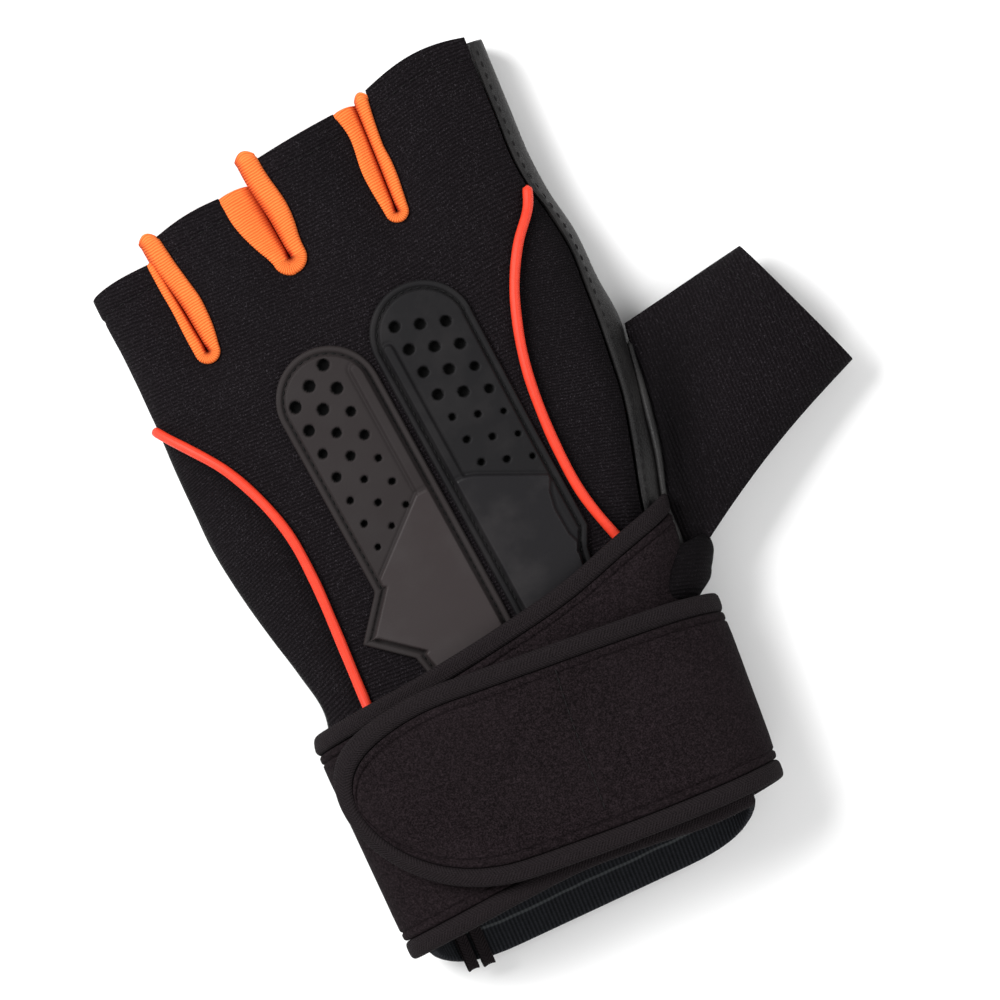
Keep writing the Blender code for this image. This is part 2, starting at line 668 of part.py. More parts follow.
def add_palm_panel(finish):
    """The leather palm, with the strip that it wraps round the index finger's side and the thumb hole."""
    setback = PALM_HEM_SETBACK * HAND_LENGTH
    little_y = outer_edge("little", setback)
    seam = HALF + SEAM_GAP / 2 / PALM_STEP
    edges = [(little_y, np.full(len(little_y), seam))]
    for name, before, after in zip(GUSSET_ORDER[::-1], FINGERS[::-1], FINGERS[-2::-1]):
        for side, finger in ((-1, before), (1, after)):
            x, y = gusset_edge(name, side, finger, 0.0, slit_widths, setback)
            edges.append((y, palm_place(x, y)))
    index_y = outer_edge("index", setback)
    edges.append((index_y, hole_palm_place(index_y)))
    fingers = [
        finger_patch(
            finger,
            edges[2 * i],
            edges[2 * i + 1],
            column_shares(PALM_COLUMNS, finger == "little", finger == "index"),
        )
        for i, finger in enumerate(FINGERS[::-1])
    ]
    rows = palm_rows()
    hand = hand_patch(fingers, rows, lambda y: np.full(np.shape(y), seam), hole_palm_place)
    strip_y = np.concatenate([rows[:-1] * index_y[0], index_y])
    first = hole_back_place(strip_y)
    last = RING_PLACES + strip_place(strip_y) - PANEL_GAP / 2 / BACK_STEP
    share = column_shares(STRIP_COLUMNS, False, True)
    strip = (strip_y[:, None] + 0.0 * share, first[:, None] * (1 - share) + last[:, None] * share)
    return add_sheet("palm_panel", [skin(*patch) for patch in [hand, *fingers, strip]], LEATHER_WALL, finish)


def add_gusset(name, finish):
    """A stretch gusset: two rolled lips on the back, and a wall down to the palm on each side of its crease."""
    gusset = GUSSETS[name]
    place = GUSSET_ORDER.index(name)
    arms = []
    for side, finger in ((-1, FINGERS[place + 1]), (1, FINGERS[place])):
        outer_x, outer_y = gusset_edge(name, side, finger, CLEARANCE, knit_widths(name, side))
        inner_x, inner_y = gusset_edge(name, side, finger, 0.0, slit_widths)
        reach = gusset["left_end" if side < 0 else "right_end"] * GUSSET_ROLL
        outer_y[-1] += reach
        inner_y[-1] += reach
        inner_y[1:] = np.maximum(inner_y[1:], inner_y[:-1])
        arms.append(np.stack([outer_x, outer_y, inner_x, inner_y]))
    path = np.concatenate([arms[0][:, :0:-1], arms[1]], axis=1)
    outer_x, outer_y, inner_x, inner_y = path
    knit = skin(outer_y, back_place(outer_x, outer_y))[:, 2]
    crest = skin(inner_y, back_place(inner_x, inner_y))[:, 2]
    floor = skin(inner_y, palm_place(inner_x, inner_y))[:, 2] + LEATHER_WALL + CLEARANCE
    profile = []
    for across, rise in GUSSET_PROFILE:
        x = outer_x + (inner_x - outer_x) * across
        y = outer_y + (inner_y - outer_y) * across
        profile.append(np.stack([x, y, knit + (crest - knit) * across + rise * ROLL_RISE], axis=-1))
    for down in (0.5, 1.0):
        profile.append(np.stack([inner_x, inner_y, crest + (floor - crest) * down], axis=-1))
    return add_sheet("gusset_" + name, [np.stack(profile, axis=1)], GUSSET_WALL, finish)


def thumb_axis():
    """The thumb's direction, and the direction along its hem."""
    angle = math.radians(THUMB_ANGLE)
    return np.array([math.cos(angle), math.sin(angle), 0.0]), np.array([-math.sin(angle), math.cos(angle), 0.0])


def hole_edge(share, out):
    """The thumb hole's edge on the palm and on the back, at shares of its length and out from the bag."""
    y = np.asarray(share) * THUMB_HOLE_TOP * HAND_LENGTH
    return skin(y, hole_palm_place(y), out), skin(y, hole_back_place(y), out)


def add_thumb_stall(finish):
    """The knit thumb: a tube lofted from the thumb hole to its oval mouth."""
    along, across = thumb_axis()
    hole = np.linspace(0.0, 1.0, HOLE_ROWS + 1)
    palm_edge, back_edge = hole_edge(hole, SEAM_GAP + KNIT_WALL * (1 - hole) ** 6)
    base = np.concatenate([palm_edge, back_edge[-2::-1], palm_edge[:1]])
    middle = (palm_edge[0] + palm_edge[-1]) / 2 + along * THUMB_LENGTH + across * THUMB_MOUTH_OFFSET
    middle[2] = THUMB_MOUTH_HEIGHT / 2
    half = math.pi * hole
    turn = np.concatenate([half, math.pi + half[1:-1], [2 * math.pi - THUMB_FIRST_TURN, 2 * math.pi]])
    ends = np.cos(turn)
    sides = np.sign(np.sin(turn)) * np.abs(np.sin(turn)) ** THUMB_POWER
    mouth = middle - across * ends[:, None] * THUMB_MOUTH_WIDTH / 2
    mouth[:, 2] -= sides * THUMB_MOUTH_HEIGHT / 2
    share = np.linspace(0.0, 1.0, THUMB_ROWS + 1)[:, None, None]
    swell = np.sin(math.pi * share)
    tube = base * (1 - share) + mouth * share
    tube = tube - swell * THUMB_SWELL * np.array([0.0, 0.0, 1.0]) * sides[:, None]
    tube = tube + swell * THUMB_SWELL_BACK * across * np.maximum(ends, 0.0)[:, None]
    tube[..., 2] = np.maximum(tube[..., 2], 0.0)
    return add_sheet("thumb_stall", [tube[:, ::-1]], KNIT_WALL, finish)


def add_tube(name, points, diameter, finish):
    """A tube along a path of points in millimetres from the cuff seam."""
    curve = bpy.data.curves.new(name, "CURVE")
    curve.dimensions = "3D"
    curve.bevel_depth = diameter / 2 * MM
    curve.bevel_resolution = 2
    curve.use_fill_caps = True
    spline = curve.splines.new("POLY")
    spline.points.add(len(points) - 1)
    spline.points.foreach_set("co", np.column_stack([points * MM, np.ones(len(points))]).ravel())
    made = bpy.data.objects.new(name, curve)
    made.data.materials.append(finish)
    bpy.data.collections["weightlifting_glove"].objects.link(made)
    return made


def add_piping(name, finish):
    """A round piping on the seam between the back and a side panel."""
    route = sorted(PIPING_ROUTES[name])
    y = np.linspace(route[0][0], route[-1][0], PIPING_POINTS) * HAND_LENGTH
    lift = PIPING_DIAMETER / 2 + CLEARANCE
    return add_tube("piping_" + name, skin(y, piping_place(name, y), lift), PIPING_DIAMETER, finish)


def add_thumb_welt(finish):
    """The leather welt along the thumb's seam on the back of the hand."""
    edge = hole_edge(np.linspace(*WELT_ENDS, WELT_POINTS), 0.0)[1]
    lean = math.radians(WELT_LEAN)
    stand_off = (WELT_DIAMETER / 2 + 2 * CLEARANCE) * np.array([math.sin(lean), 0.0, math.cos(lean)])
    return add_tube("thumb_welt", edge + stand_off, WELT_DIAMETER, finish)


def cuff_end(place):
    """The y of the cuff's free end, longer on the palm than on the back."""
    ring = np.arange(RING_PLACES + 1)
    rise = np.interp(place % RING_PLACES, ring, RING_RISE)
    drop = np.interp(place % RING_PLACES, ring, RING_DROP)
    return -CUFF_LENGTH + CUFF_SLANT * (1 + rise - drop**2) / 2


def add_cuff(finish):
    """The elastic cuff inside the strap."""
    places, lengths = strap_places()
    turn = np.interp(RING_PLACES, places, lengths)
    place = np.interp(spread(0.0, turn, CUFF_COLUMNS + 1), lengths, places)
    share = np.linspace(0.0, 1.0, CUFF_ROWS + 1)[:, None]
    y = cuff_end(place) * (1 - share) - SEAM_GAP * share
    return add_sheet("cuff", [skin(y, place + 0.0 * share)], CUFF_WALL, finish)


def add_cuff_tape(index, across, finish):
    """One of the two folded tape ends inside the cuff, on the palm side."""
    place = palm_place(WRIST_OFFSET + across * WRIST_WIDTH / 2, -CUFF_LENGTH)
    half = TAPE_WIDTH / 2 / PALM_STEP
    places = place + np.linspace(-half, half, 3)
    end = cuff_end(place) - TAPE_SHOW
    y = end + np.array([0.0, 0.5, 1.0])[:, None] * TAPE_LENGTH
    inside = -(CUFF_WALL + CLEARANCE + TAPE_THICKNESS / 2)
    return add_sheet(f"cuff_tape_{index}", [skin(y, places, inside)], TAPE_THICKNESS, finish, 0.0)


def course(share):
    """The strap's middle y and its half width at shares of its length."""
    at, centre, width = np.array(STRAP_COURSE).T
    return smooth(share, at, centre) * CUFF_LENGTH, smooth(share, at, width) * STRAP_WIDTH / 2


def strap_layer(place):
    """The distance of the strap's middle from the cuff: one turn higher once it passes its sewn end."""
    first = STRAP_CLEARANCE + BINDING_THICKNESS / 2
    return first + LAYER * ease(place, RING_PLACES - STRAP_CLIMB, RING_PLACES)


def strap_places():
    """The places round the wrist, over two turns, and the strap's length up to each of them."""
    place = np.arange(0.0, 2 * RING_PLACES + 0.5, 0.5)
    ring = skin(STRAP_MIDDLE * CUFF_LENGTH, place, strap_layer(place))
    steps = np.hypot(*np.diff(ring[:, [0, 2]], axis=0).T)
    return place, np.concatenate([[0.0], np.cumsum(steps)])


def strap_stand_off(y, place):
    """How far the strap's upper edge stands off the back, over the pads' and pipings' ends."""
    ring = place % RING_PLACES
    places, lengths = strap_places()
    share = (np.interp(ring, places, lengths) - STRAP_START) / STRAP_LENGTH
    middle, half = course(np.clip(share, 0.0, 1.0))
    below = middle + half - y
    rise, full, fall, end = np.array(TUCK_PLACES) * HALF
    across = ease(ring, rise, full) * (1 - ease(ring, fall, end))
    return (PAD_RAISED_HEIGHT + CLEARANCE) * across * (1 - ease(below, TUCK_FLAT, TUCK_FLAT + TUCK_SLOPE))


def strap_point(length, y):
    """A point of the strap's middle surface, at a length along it and a y."""
    places, lengths = strap_places()
    place = np.interp(length + STRAP_START, lengths, places)
    return skin(y, place, strap_layer(place) + strap_stand_off(y, place))


def spread(first, last, count):
    """Lengths round the wrist, closer together where the strap turns round the wrist's two sides."""
    places, lengths = strap_places()
    ring = skin(STRAP_MIDDLE * CUFF_LENGTH, places, strap_layer(places))
    step = np.gradient(ring[:, [0, 2]], axis=0)
    turn = np.unwrap(np.arctan2(step[:, 1], step[:, 0]))
    measure = lengths + STRAP_CORNER * (turn - turn[0])
    ends = np.interp([first, last], lengths, measure)
    return np.interp(np.linspace(*ends, count), measure, lengths)


def strap_outline(inset):
    """The strap's upper and lower edges as (length, y), moved inwards by inset, up to the rounded end's tip."""
    straight = STRAP_LENGTH - STRAP_END_LENGTH
    turn = np.linspace(0.0, math.pi / 2, TIP_STATIONS + 1)[1:]
    length = np.concatenate([
        spread(STRAP_START, STRAP_START + straight, STRAP_STATIONS) - STRAP_START,
        straight + (STRAP_END_LENGTH - inset) * np.sin(turn),
    ])
    shrink = np.concatenate([np.ones(STRAP_STATIONS), np.cos(turn)])
    middle, half = course(length / STRAP_LENGTH)
    return length, middle + (half - inset) * shrink, middle - (half - inset) * shrink


def add_wrist_strap(finish):
    """The wrist strap: one band wound round the cuff about one and a half times."""
    length, upper, lower = strap_outline(BINDING_WIDTH + BINDING_GAP)
    length, upper, lower = length[:-1], upper[:-1], lower[:-1]
    share = np.array(STRAP_ROW_SHARES)[:, None]
    y = lower * (1 - share) + upper * share
    grid = strap_point(length + 0.0 * share, y)
    return add_sheet("wrist_strap", [grid], STRAP_THICKNESS, finish, 0.0)


def add_strap_binding(finish):
    """The tape bound round the strap's two long edges and its rounded end."""
    rows = []
    for inset in (0.0, BINDING_WIDTH):
        length, upper, lower = strap_outline(inset)
        rows.append(strap_point(np.append(length, length[-2::-1]), np.append(upper, lower[-2::-1])))
    return add_sheet("strap_binding", [np.stack(rows)], BINDING_THICKNESS, finish, 0.0)


def pad_frame():
    """The pads' shared inner end of the middle line, its direction up and its direction to the thumb side."""
    angle = math.radians(PAD_ANGLE)
    middle = np.array([PAD_MIDDLE[0] * HAND_WIDTH / 2, PAD_MIDDLE[1] * HAND_LENGTH])
    return middle, np.array([-math.sin(angle), math.cos(angle)]), np.array([math.cos(angle), math.sin(angle)])


def pad_point(name, across, down):
    """The (x, y) of a point of a pad: across from its inner edge, down from its top."""
    middle, up, over = pad_frame()
    side = -1.0 if name == "little" else 1.0
    from_middle = PAD_TOPS[name] * HAND_LENGTH - middle[1] - np.asarray(down)
    outwards = side * (PAD_GAP / 2 + np.asarray(across))
    return middle + up * from_middle[..., None] + over * outwards[..., None]


def pad_length(name):
    """The pad's length, from its top to its end under the strap."""
    places, lengths = strap_places()
    x = (-1.0 if name == "little" else 1.0) * PAD_WIDTH / 2
    along = np.interp(back_place(x, 0.0), places, lengths) - STRAP_START
    middle, half = course(along / STRAP_LENGTH)
    return PAD_TOPS[name] * HAND_LENGTH - (middle + half - PAD_TUCK)


def pad_width(name, down, length):
    """The pad's width at a distance down from its top."""
    share = np.clip(down / (length - PAD_TUCK), 0.0, 1.0)
    at, width = np.array(PAD_EDGES[name]).T
    return np.interp(share, at, width) * PAD_WIDTH


def add_pad(name, finish):
    """A moulded knuckle pad: a flange, a field of round holes, and a raised rib and lower half."""
    length = pad_length(name)
    radius = PAD_WIDTH / 2
    step = PAD_STEP / 2
    inner = np.array([
        0.0,
        PAD_FLANGE - step,
        PAD_FLANGE + step,
        PAD_FLANGE + PAD_RIB_WIDTH - step,
        PAD_FLANGE + PAD_RIB_WIDTH + step,
    ])
    field = np.linspace(inner[-1], PAD_WIDTH - PAD_FLANGE - step, 4)[1:]
    across = np.concatenate([inner, field, [PAD_WIDTH - PAD_FLANGE + step, PAD_WIDTH]])
    arc = radius - np.sqrt(np.maximum(radius**2 - (across - radius) ** 2, 0.0))
    ends = PAD_TOPS[name] * HAND_LENGTH - np.array(PAD_FIELD_ENDS[name]) * HAND_LENGTH
    ridge = np.interp(across, [PAD_FLANGE + PAD_RIB_WIDTH, PAD_WIDTH - PAD_FLANGE], ends)
    upper = np.linspace(0.0, 1.0, PAD_UPPER_ROWS + 1)[1:-1]
    lower = np.linspace(0.0, 1.0, PAD_LOWER_ROWS + 1)[1:]
    start = arc + PAD_FLANGE + step
    rows = [arc, arc + PAD_FLANGE - step, start]
    rows += [start + (ridge - step - start) * share for share in upper]
    rows += [ridge - step, ridge + step]
    rows += [ridge + step + (length - ridge - step) * share for share in lower]
    down = np.stack(rows)
    is_top = np.arange(len(rows))[:, None] < 2
    is_raised = np.arange(len(rows))[:, None] > 3 + PAD_UPPER_ROWS - 1
    is_flange = (across < PAD_FLANGE) | (across > PAD_WIDTH - PAD_FLANGE)
    is_rib = (across > PAD_FLANGE) & (across < PAD_FLANGE + PAD_RIB_WIDTH)
    height = np.where(is_raised | is_rib, PAD_RAISED_HEIGHT, PAD_FIELD_HEIGHT)
    height = np.where(is_flange | is_top, PAD_FLANGE_HEIGHT, height)
    stretch = pad_width(name, down, length) / PAD_WIDTH
    wide = np.where(across > PAD_FLANGE + PAD_RIB_WIDTH, across * stretch, across)
    plan = pad_point(name, wide, down)
    place = back_place(plan[..., 0], plan[..., 1])
    top = skin(plan[..., 1], place, CLEARANCE + height)
    bottom = skin(plan[..., 1], place, CLEARANCE)
    rows, columns = down.shape
    faces = patch_faces(rows, columns, 0) + patch_faces(rows, columns, rows * columns)
    grid = np.arange(rows * columns).reshape(rows, columns)
    rim = np.concatenate([grid[0], grid[1:, -1], grid[-1, -2::-1], grid[-2:0:-1, 0]])
    ahead = np.roll(rim, -1)
    faces += np.stack([rim, ahead, ahead + grid.size, rim + grid.size], axis=-1).tolist()
    made = add_mesh("pad_" + name, np.concatenate([top.reshape(-1, 3), bottom.reshape(-1, 3)]), faces, finish)
    turn_out(made)
    made.data.shade_flat()
    cut = made.modifiers.new("holes", "BOOLEAN")
    cut.operation = "DIFFERENCE"
    cut.object = add_hole_cutter(name)
    return made


def turn_out(made):
    """Turns a closed mesh's faces outwards."""
    shape = bmesh.new()
    shape.from_mesh(made.data)
    bmesh.ops.recalc_face_normals(shape, faces=shape.faces)
    shape.to_mesh(made.data)
    shape.free()


def add_hole_cutter(name):
    """One mesh of upright pins, a pin for each hole of a pad."""
    steps = PAD_HOLE_STEPS[name]
    shape = bmesh.new()
    for row, first, sizes in PAD_HOLE_ROWS[name]:
        for number, size in enumerate(sizes):
            share = np.array(steps["first"]) + row * np.array(steps["row"]) + (first + number) * np.array(steps["hole"])
            x, y = pad_point(name, share[0] * PAD_WIDTH, share[1] * PAD_WIDTH)
            z = skin(y, back_place(x, y))[2]
            move = mathutils.Matrix.Translation((x * MM, y * MM, z * MM))
            bmesh.ops.create_cone(
                shape,
                cap_ends=True,
                segments=HOLE_SIDES,
                radius1=size * HOLE_DIAMETER / 2 * MM,
                radius2=size * HOLE_DIAMETER / 2 * MM,
                depth=4 * PAD_RAISED_HEIGHT * MM,
                matrix=move,
            )
    mesh = bpy.data.meshes.new("holes_" + name)
    shape.to_mesh(mesh)
    shape.free()
    made = bpy.data.objects.new("holes_" + name, mesh)
    made.hide_render = True
    made.display_type = "WIRE"
    bpy.data.collections["cutters"].objects.link(made)
    return made


def centre_footprint():
    """Moves every piece so that the origin is under the middle of the whole glove's outline."""
    bpy.context.view_layer.update()
    graph = bpy.context.evaluated_depsgraph_get()
    pieces = list(bpy.data.collections["weightlifting_glove"].objects)
    ends = []
    for piece in pieces:
        mesh = piece.evaluated_get(graph).to_mesh()
        points = np.array([vertex.co[:] for vertex in mesh.vertices])
        ends += [points.min(axis=0), points.max(axis=0)]
        piece.evaluated_get(graph).to_mesh_clear()
    middle = (np.min(ends, axis=0) + np.max(ends, axis=0)) / 2
    for piece in [*pieces, *bpy.data.collections["cutters"].objects]:
        piece.location = (-middle[0], -middle[1], 0.0)


def main():
    """Clears the scene and models the glove."""
    for old in list(bpy.data.objects):
        bpy.data.objects.remove(old)
    for name in ("weightlifting_glove", "cutters"):
        bpy.context.scene.collection.children.link(bpy.data.collections.new(name))
    knit = material("black_knit", (0.012, 0.012, 0.013), 0.85)
    leather = material("black_leather", (0.016, 0.016, 0.017), 0.5)
    stretch = material("orange_stretch", (1.0, 0.21, 0.04), 0.7)
    cord = material("red_orange_cord", (0.9, 0.075, 0.03), 0.4)
    rubber = material("grey_rubber", (0.03, 0.03, 0.032), 0.5)
    loop = material("strap_fabric", (0.018, 0.013, 0.014), 0.95)
    tape = material("binding_tape", (0.022, 0.018, 0.019), 0.8)
    elastic = material("cuff_elastic", (0.012, 0.017, 0.015), 0.8)
    add_back_panel(knit)
    add_little_side_panel(knit)
    add_index_side_panel(knit)
    add_palm_panel(leather)
    for name in GUSSET_ORDER:
        add_gusset(name, stretch)
    add_thumb_stall(knit)
    add_thumb_welt(leather)
    for name in ("little", "index"):
        add_piping(name, cord)
        add_pad(name, rubber)
    add_cuff(elastic)
    for index, across in enumerate(TAPE_PLACES, 1):
        add_cuff_tape(index, across, tape)
    add_wrist_strap(loop)
    add_strap_binding(tape)
    centre_footprint()


main()
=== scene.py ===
"""The looks of a left-hand fingerless weightlifting glove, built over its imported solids.

Lengths are in millimetres from the middle of the cuff's seam, as in the part, until a mesh is made: X points
to the thumb side, Y to the fingers and Z up out of the back of the hand. Every cloth surface is worked out
from the same hollow bag, whose cross-sections are half superellipses above and below the side seams.
"""

import logging
import math
from collections.abc import Callable
from dataclasses import dataclass, field
from enum import Enum
from functools import cached_property

import bmesh
import bpy
import numpy as np
from mathutils import Matrix

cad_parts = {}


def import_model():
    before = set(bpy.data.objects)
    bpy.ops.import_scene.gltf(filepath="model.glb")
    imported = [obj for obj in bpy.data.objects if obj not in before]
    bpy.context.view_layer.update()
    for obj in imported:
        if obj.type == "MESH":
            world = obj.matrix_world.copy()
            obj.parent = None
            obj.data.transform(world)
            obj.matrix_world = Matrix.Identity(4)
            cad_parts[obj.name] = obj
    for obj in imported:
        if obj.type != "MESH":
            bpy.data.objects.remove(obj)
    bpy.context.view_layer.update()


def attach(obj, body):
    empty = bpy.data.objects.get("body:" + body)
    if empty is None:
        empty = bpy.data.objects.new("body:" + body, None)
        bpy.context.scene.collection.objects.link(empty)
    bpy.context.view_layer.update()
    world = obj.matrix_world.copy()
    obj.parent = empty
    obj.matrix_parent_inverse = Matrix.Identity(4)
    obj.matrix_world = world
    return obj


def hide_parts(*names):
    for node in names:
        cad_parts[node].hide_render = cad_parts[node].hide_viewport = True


MM = 0.001
CUFF_SEAM = np.array([-22.343, -36.939, 0.0])  # the cuff seam's middle, from the glove's origin
UP = np.array([0.0, 0.0, 1.0])
LOWEST = 0.05  # the least height of cloth that would sink into the table
log = logging.getLogger("glove")


class Side(Enum):
    """The two sides of the hand."""

    LITTLE = -1
    INDEX = 1

    @property
    def label(self) -> str:
        """The word for the side in the names of pieces."""
        return self.name.lower()


class Finger(Enum):
    """The finger stubs, from the thumb's side.

    Each value is its hem: its left end, right end and bulge, as shares of the hand.
    """

    INDEX = (0.985, 0.997, 0.016)
    MIDDLE = (0.957, 0.971, 0.001)
    RING = (0.909, 0.923, 0.005)
    LITTLE = (0.855, 0.873, 0.005)


# Curves


def smooth(at: np.ndarray, points: np.ndarray, values: np.ndarray) -> np.ndarray:
    """Reads a smooth curve through points: cubic pieces whose slopes are the local mean slopes.

    Args:
        at: The places to read.
        points: The curve's places, rising.
        values: The curve's values there.

    Returns:
        The values at the places.
    """
    points = np.asarray(points, float)
    values = np.asarray(values, float)
    slopes = np.gradient(values, points)
    first = np.clip(np.searchsorted(points, at) - 1, 0, len(points) - 2)
    width = points[first + 1] - points[first]
    step = np.clip((at - points[first]) / width, 0.0, 1.0)
    start = values[first] * (1 + 2 * step) * (1 - step) ** 2 + slopes[first] * width * step * (1 - step) ** 2
    end = values[first + 1] * (3 - 2 * step) * step**2 - slopes[first + 1] * width * (1 - step) * step**2
    return start + end


def ease(value: np.ndarray, low: float, high: float) -> np.ndarray:
    """Gives 0 below low, 1 above high and a smooth rise between them."""
    share = np.clip((value - low) / (high - low), 0.0, 1.0)
    return share * share * (3 - 2 * share)


def bell(value: np.ndarray, width: float) -> np.ndarray:
    """Gives 1 at 0 and falls off on both sides as a bell of the given width."""
    return np.exp(-((value / width) ** 2))


def running_total(steps: np.ndarray) -> np.ndarray:
    """The running total of steps, from 0."""
    return np.concatenate([[0.0], np.cumsum(steps)])


def path_length(points: np.ndarray) -> np.ndarray:
    """The length along a path of points up to each of them."""
    return running_total(np.linalg.norm(np.diff(points, axis=0), axis=1))


def read_path(at: np.ndarray, length: np.ndarray, path: np.ndarray) -> np.ndarray:
    """The rows of a path, or of directions kept along it, at lengths along it."""
    return np.stack([np.interp(at, length, column) for column in path.T], axis=-1)


def evenly(path: np.ndarray, step: float) -> np.ndarray:
    """Reads a path of points again at even steps along it.

    Args:
        path: Points, one a row.
        step: The wanted distance between points.

    Returns:
        The new points.
    """
    length = path_length(path)
    even = np.linspace(0.0, length[-1], max(2, int(round(length[-1] / step)) + 1))
    return read_path(even, length, path)


def quarter_round(inwards: np.ndarray, radius: float, least: float = 0.0) -> np.ndarray:
    """The height share of an edge's rounding, a quarter circle, at a distance inwards from the edge."""
    return np.sqrt(np.clip(1 - (1 - np.clip(inwards / radius, 0.0, 1.0)) ** 2, least, 1.0))


def signed_power(value: np.ndarray, power: float) -> np.ndarray:
    """A value's size raised to a power, with its sign kept."""
    return np.sign(value) * np.abs(value) ** power


def between_edges(first: np.ndarray, last: np.ndarray, share: np.ndarray) -> np.ndarray:
    """A grid that goes in each row from the first edge's value, at share 0, to the last edge's."""
    return first[:, None] * (1 - share) + last[:, None] * share


def pair(first: np.ndarray, second: np.ndarray) -> np.ndarray:
    """Two maps as the last axis of one, spread to their common shape."""
    return np.stack(np.broadcast_arrays(first, second), axis=-1)


def at_depth(below: np.ndarray, depth: float, *maps: np.ndarray) -> list[np.ndarray]:
    """Reads maps of a panel where each of its columns lies a depth below the hem.

    Args:
        below: The distance below the hem, by row and column.
        depth: The wanted distance.
        maps: The maps, by row and column.

    Returns:
        Each map's values, one for every column.
    """
    columns = np.arange(below.shape[1])
    row = np.array([np.interp(-depth, -column, np.arange(len(below))) for column in below.T])
    low = row.astype(int)
    high = np.minimum(low + 1, len(below) - 1)
    part = row - low
    return [(one[low, columns].T * (1 - part) + one[high, columns].T * part).T for one in maps]


# The bag


@dataclass(frozen=True)
class Crease:
    """A slit between two fingers: its ends as (across, along) shares of the hand, and its gusset.

    Each row of widths is a share of the crease and the knit's distance on the left and right, in rolls.
    Each row of lips is a share of the crease and the gusset's width on the left and right, in millimetres.
    """

    name: str
    fingers: tuple[Finger, Finger]  # on its thumb side and on its other side
    crotch: tuple[float, float]
    tip: tuple[float, float]
    widths: tuple[tuple[float, float, float], ...]
    lips: tuple[tuple[float, float, float], ...]
    left_end: float
    right_end: float
    lean: float  # how far the right lip reaches over the left one at its end
    slope: float = 0.0  # degrees that the fingers' rows rise to the thumb side beside the crotch


CREASES = (
    Crease(
        "gusset_middle_index", (Finger.INDEX, Finger.MIDDLE), (0.342, 0.776), (0.372, 0.972),
        ((0.0, 0.65, 0.65), (0.4, 1.02, 0.62), (0.8, 1.00, 0.70), (1.0, 1.40, 0.85)),
        ((0.0, 2.6, 2.8), (0.12, 2.8, 3.0), (0.26, 3.0, 3.2), (0.4, 3.0, 3.1),
         (0.55, 3.2, 2.6), (0.7, 3.5, 2.5), (0.85, 4.2, 2.6), (1.0, 4.6, 2.6)),
        left_end=0.05, right_end=0.05, lean=0.2,
    ),
    Crease(
        "gusset_ring_middle", (Finger.MIDDLE, Finger.RING), (-0.158, 0.781), (-0.191, 0.955),
        ((0.0, 0.95, 0.95), (0.25, 1.45, 1.03), (0.6, 1.90, 1.12), (1.0, 1.95, 1.05)),
        ((0.0, 4.2, 3.8), (0.16, 5.1, 4.3), (0.3, 5.7, 5.0), (0.44, 6.1, 5.4),
         (0.64, 7.3, 5.2), (0.8, 7.9, 4.6), (1.0, 8.0, 4.2)),
        left_end=0.05, right_end=0.75, lean=0.8,
    ),
    Crease(
        "gusset_little_ring", (Finger.RING, Finger.LITTLE), (-0.650, 0.696), (-0.700, 0.894),
        ((0.0, 0.58, 0.58), (0.4, 0.50, 0.72), (0.7, 0.45, 0.85), (1.0, 0.45, 0.75)),
        ((0.0, 3.0, 3.0), (0.15, 2.9, 4.1), (0.3, 2.7, 4.7), (0.42, 2.5, 4.9),
         (0.54, 2.4, 4.6), (0.68, 2.4, 4.2), (0.82, 2.3, 3.8), (1.0, 2.1, 3.3)),
        left_end=0.05, right_end=0.45, lean=1.4, slope=20.0,
    ),
)


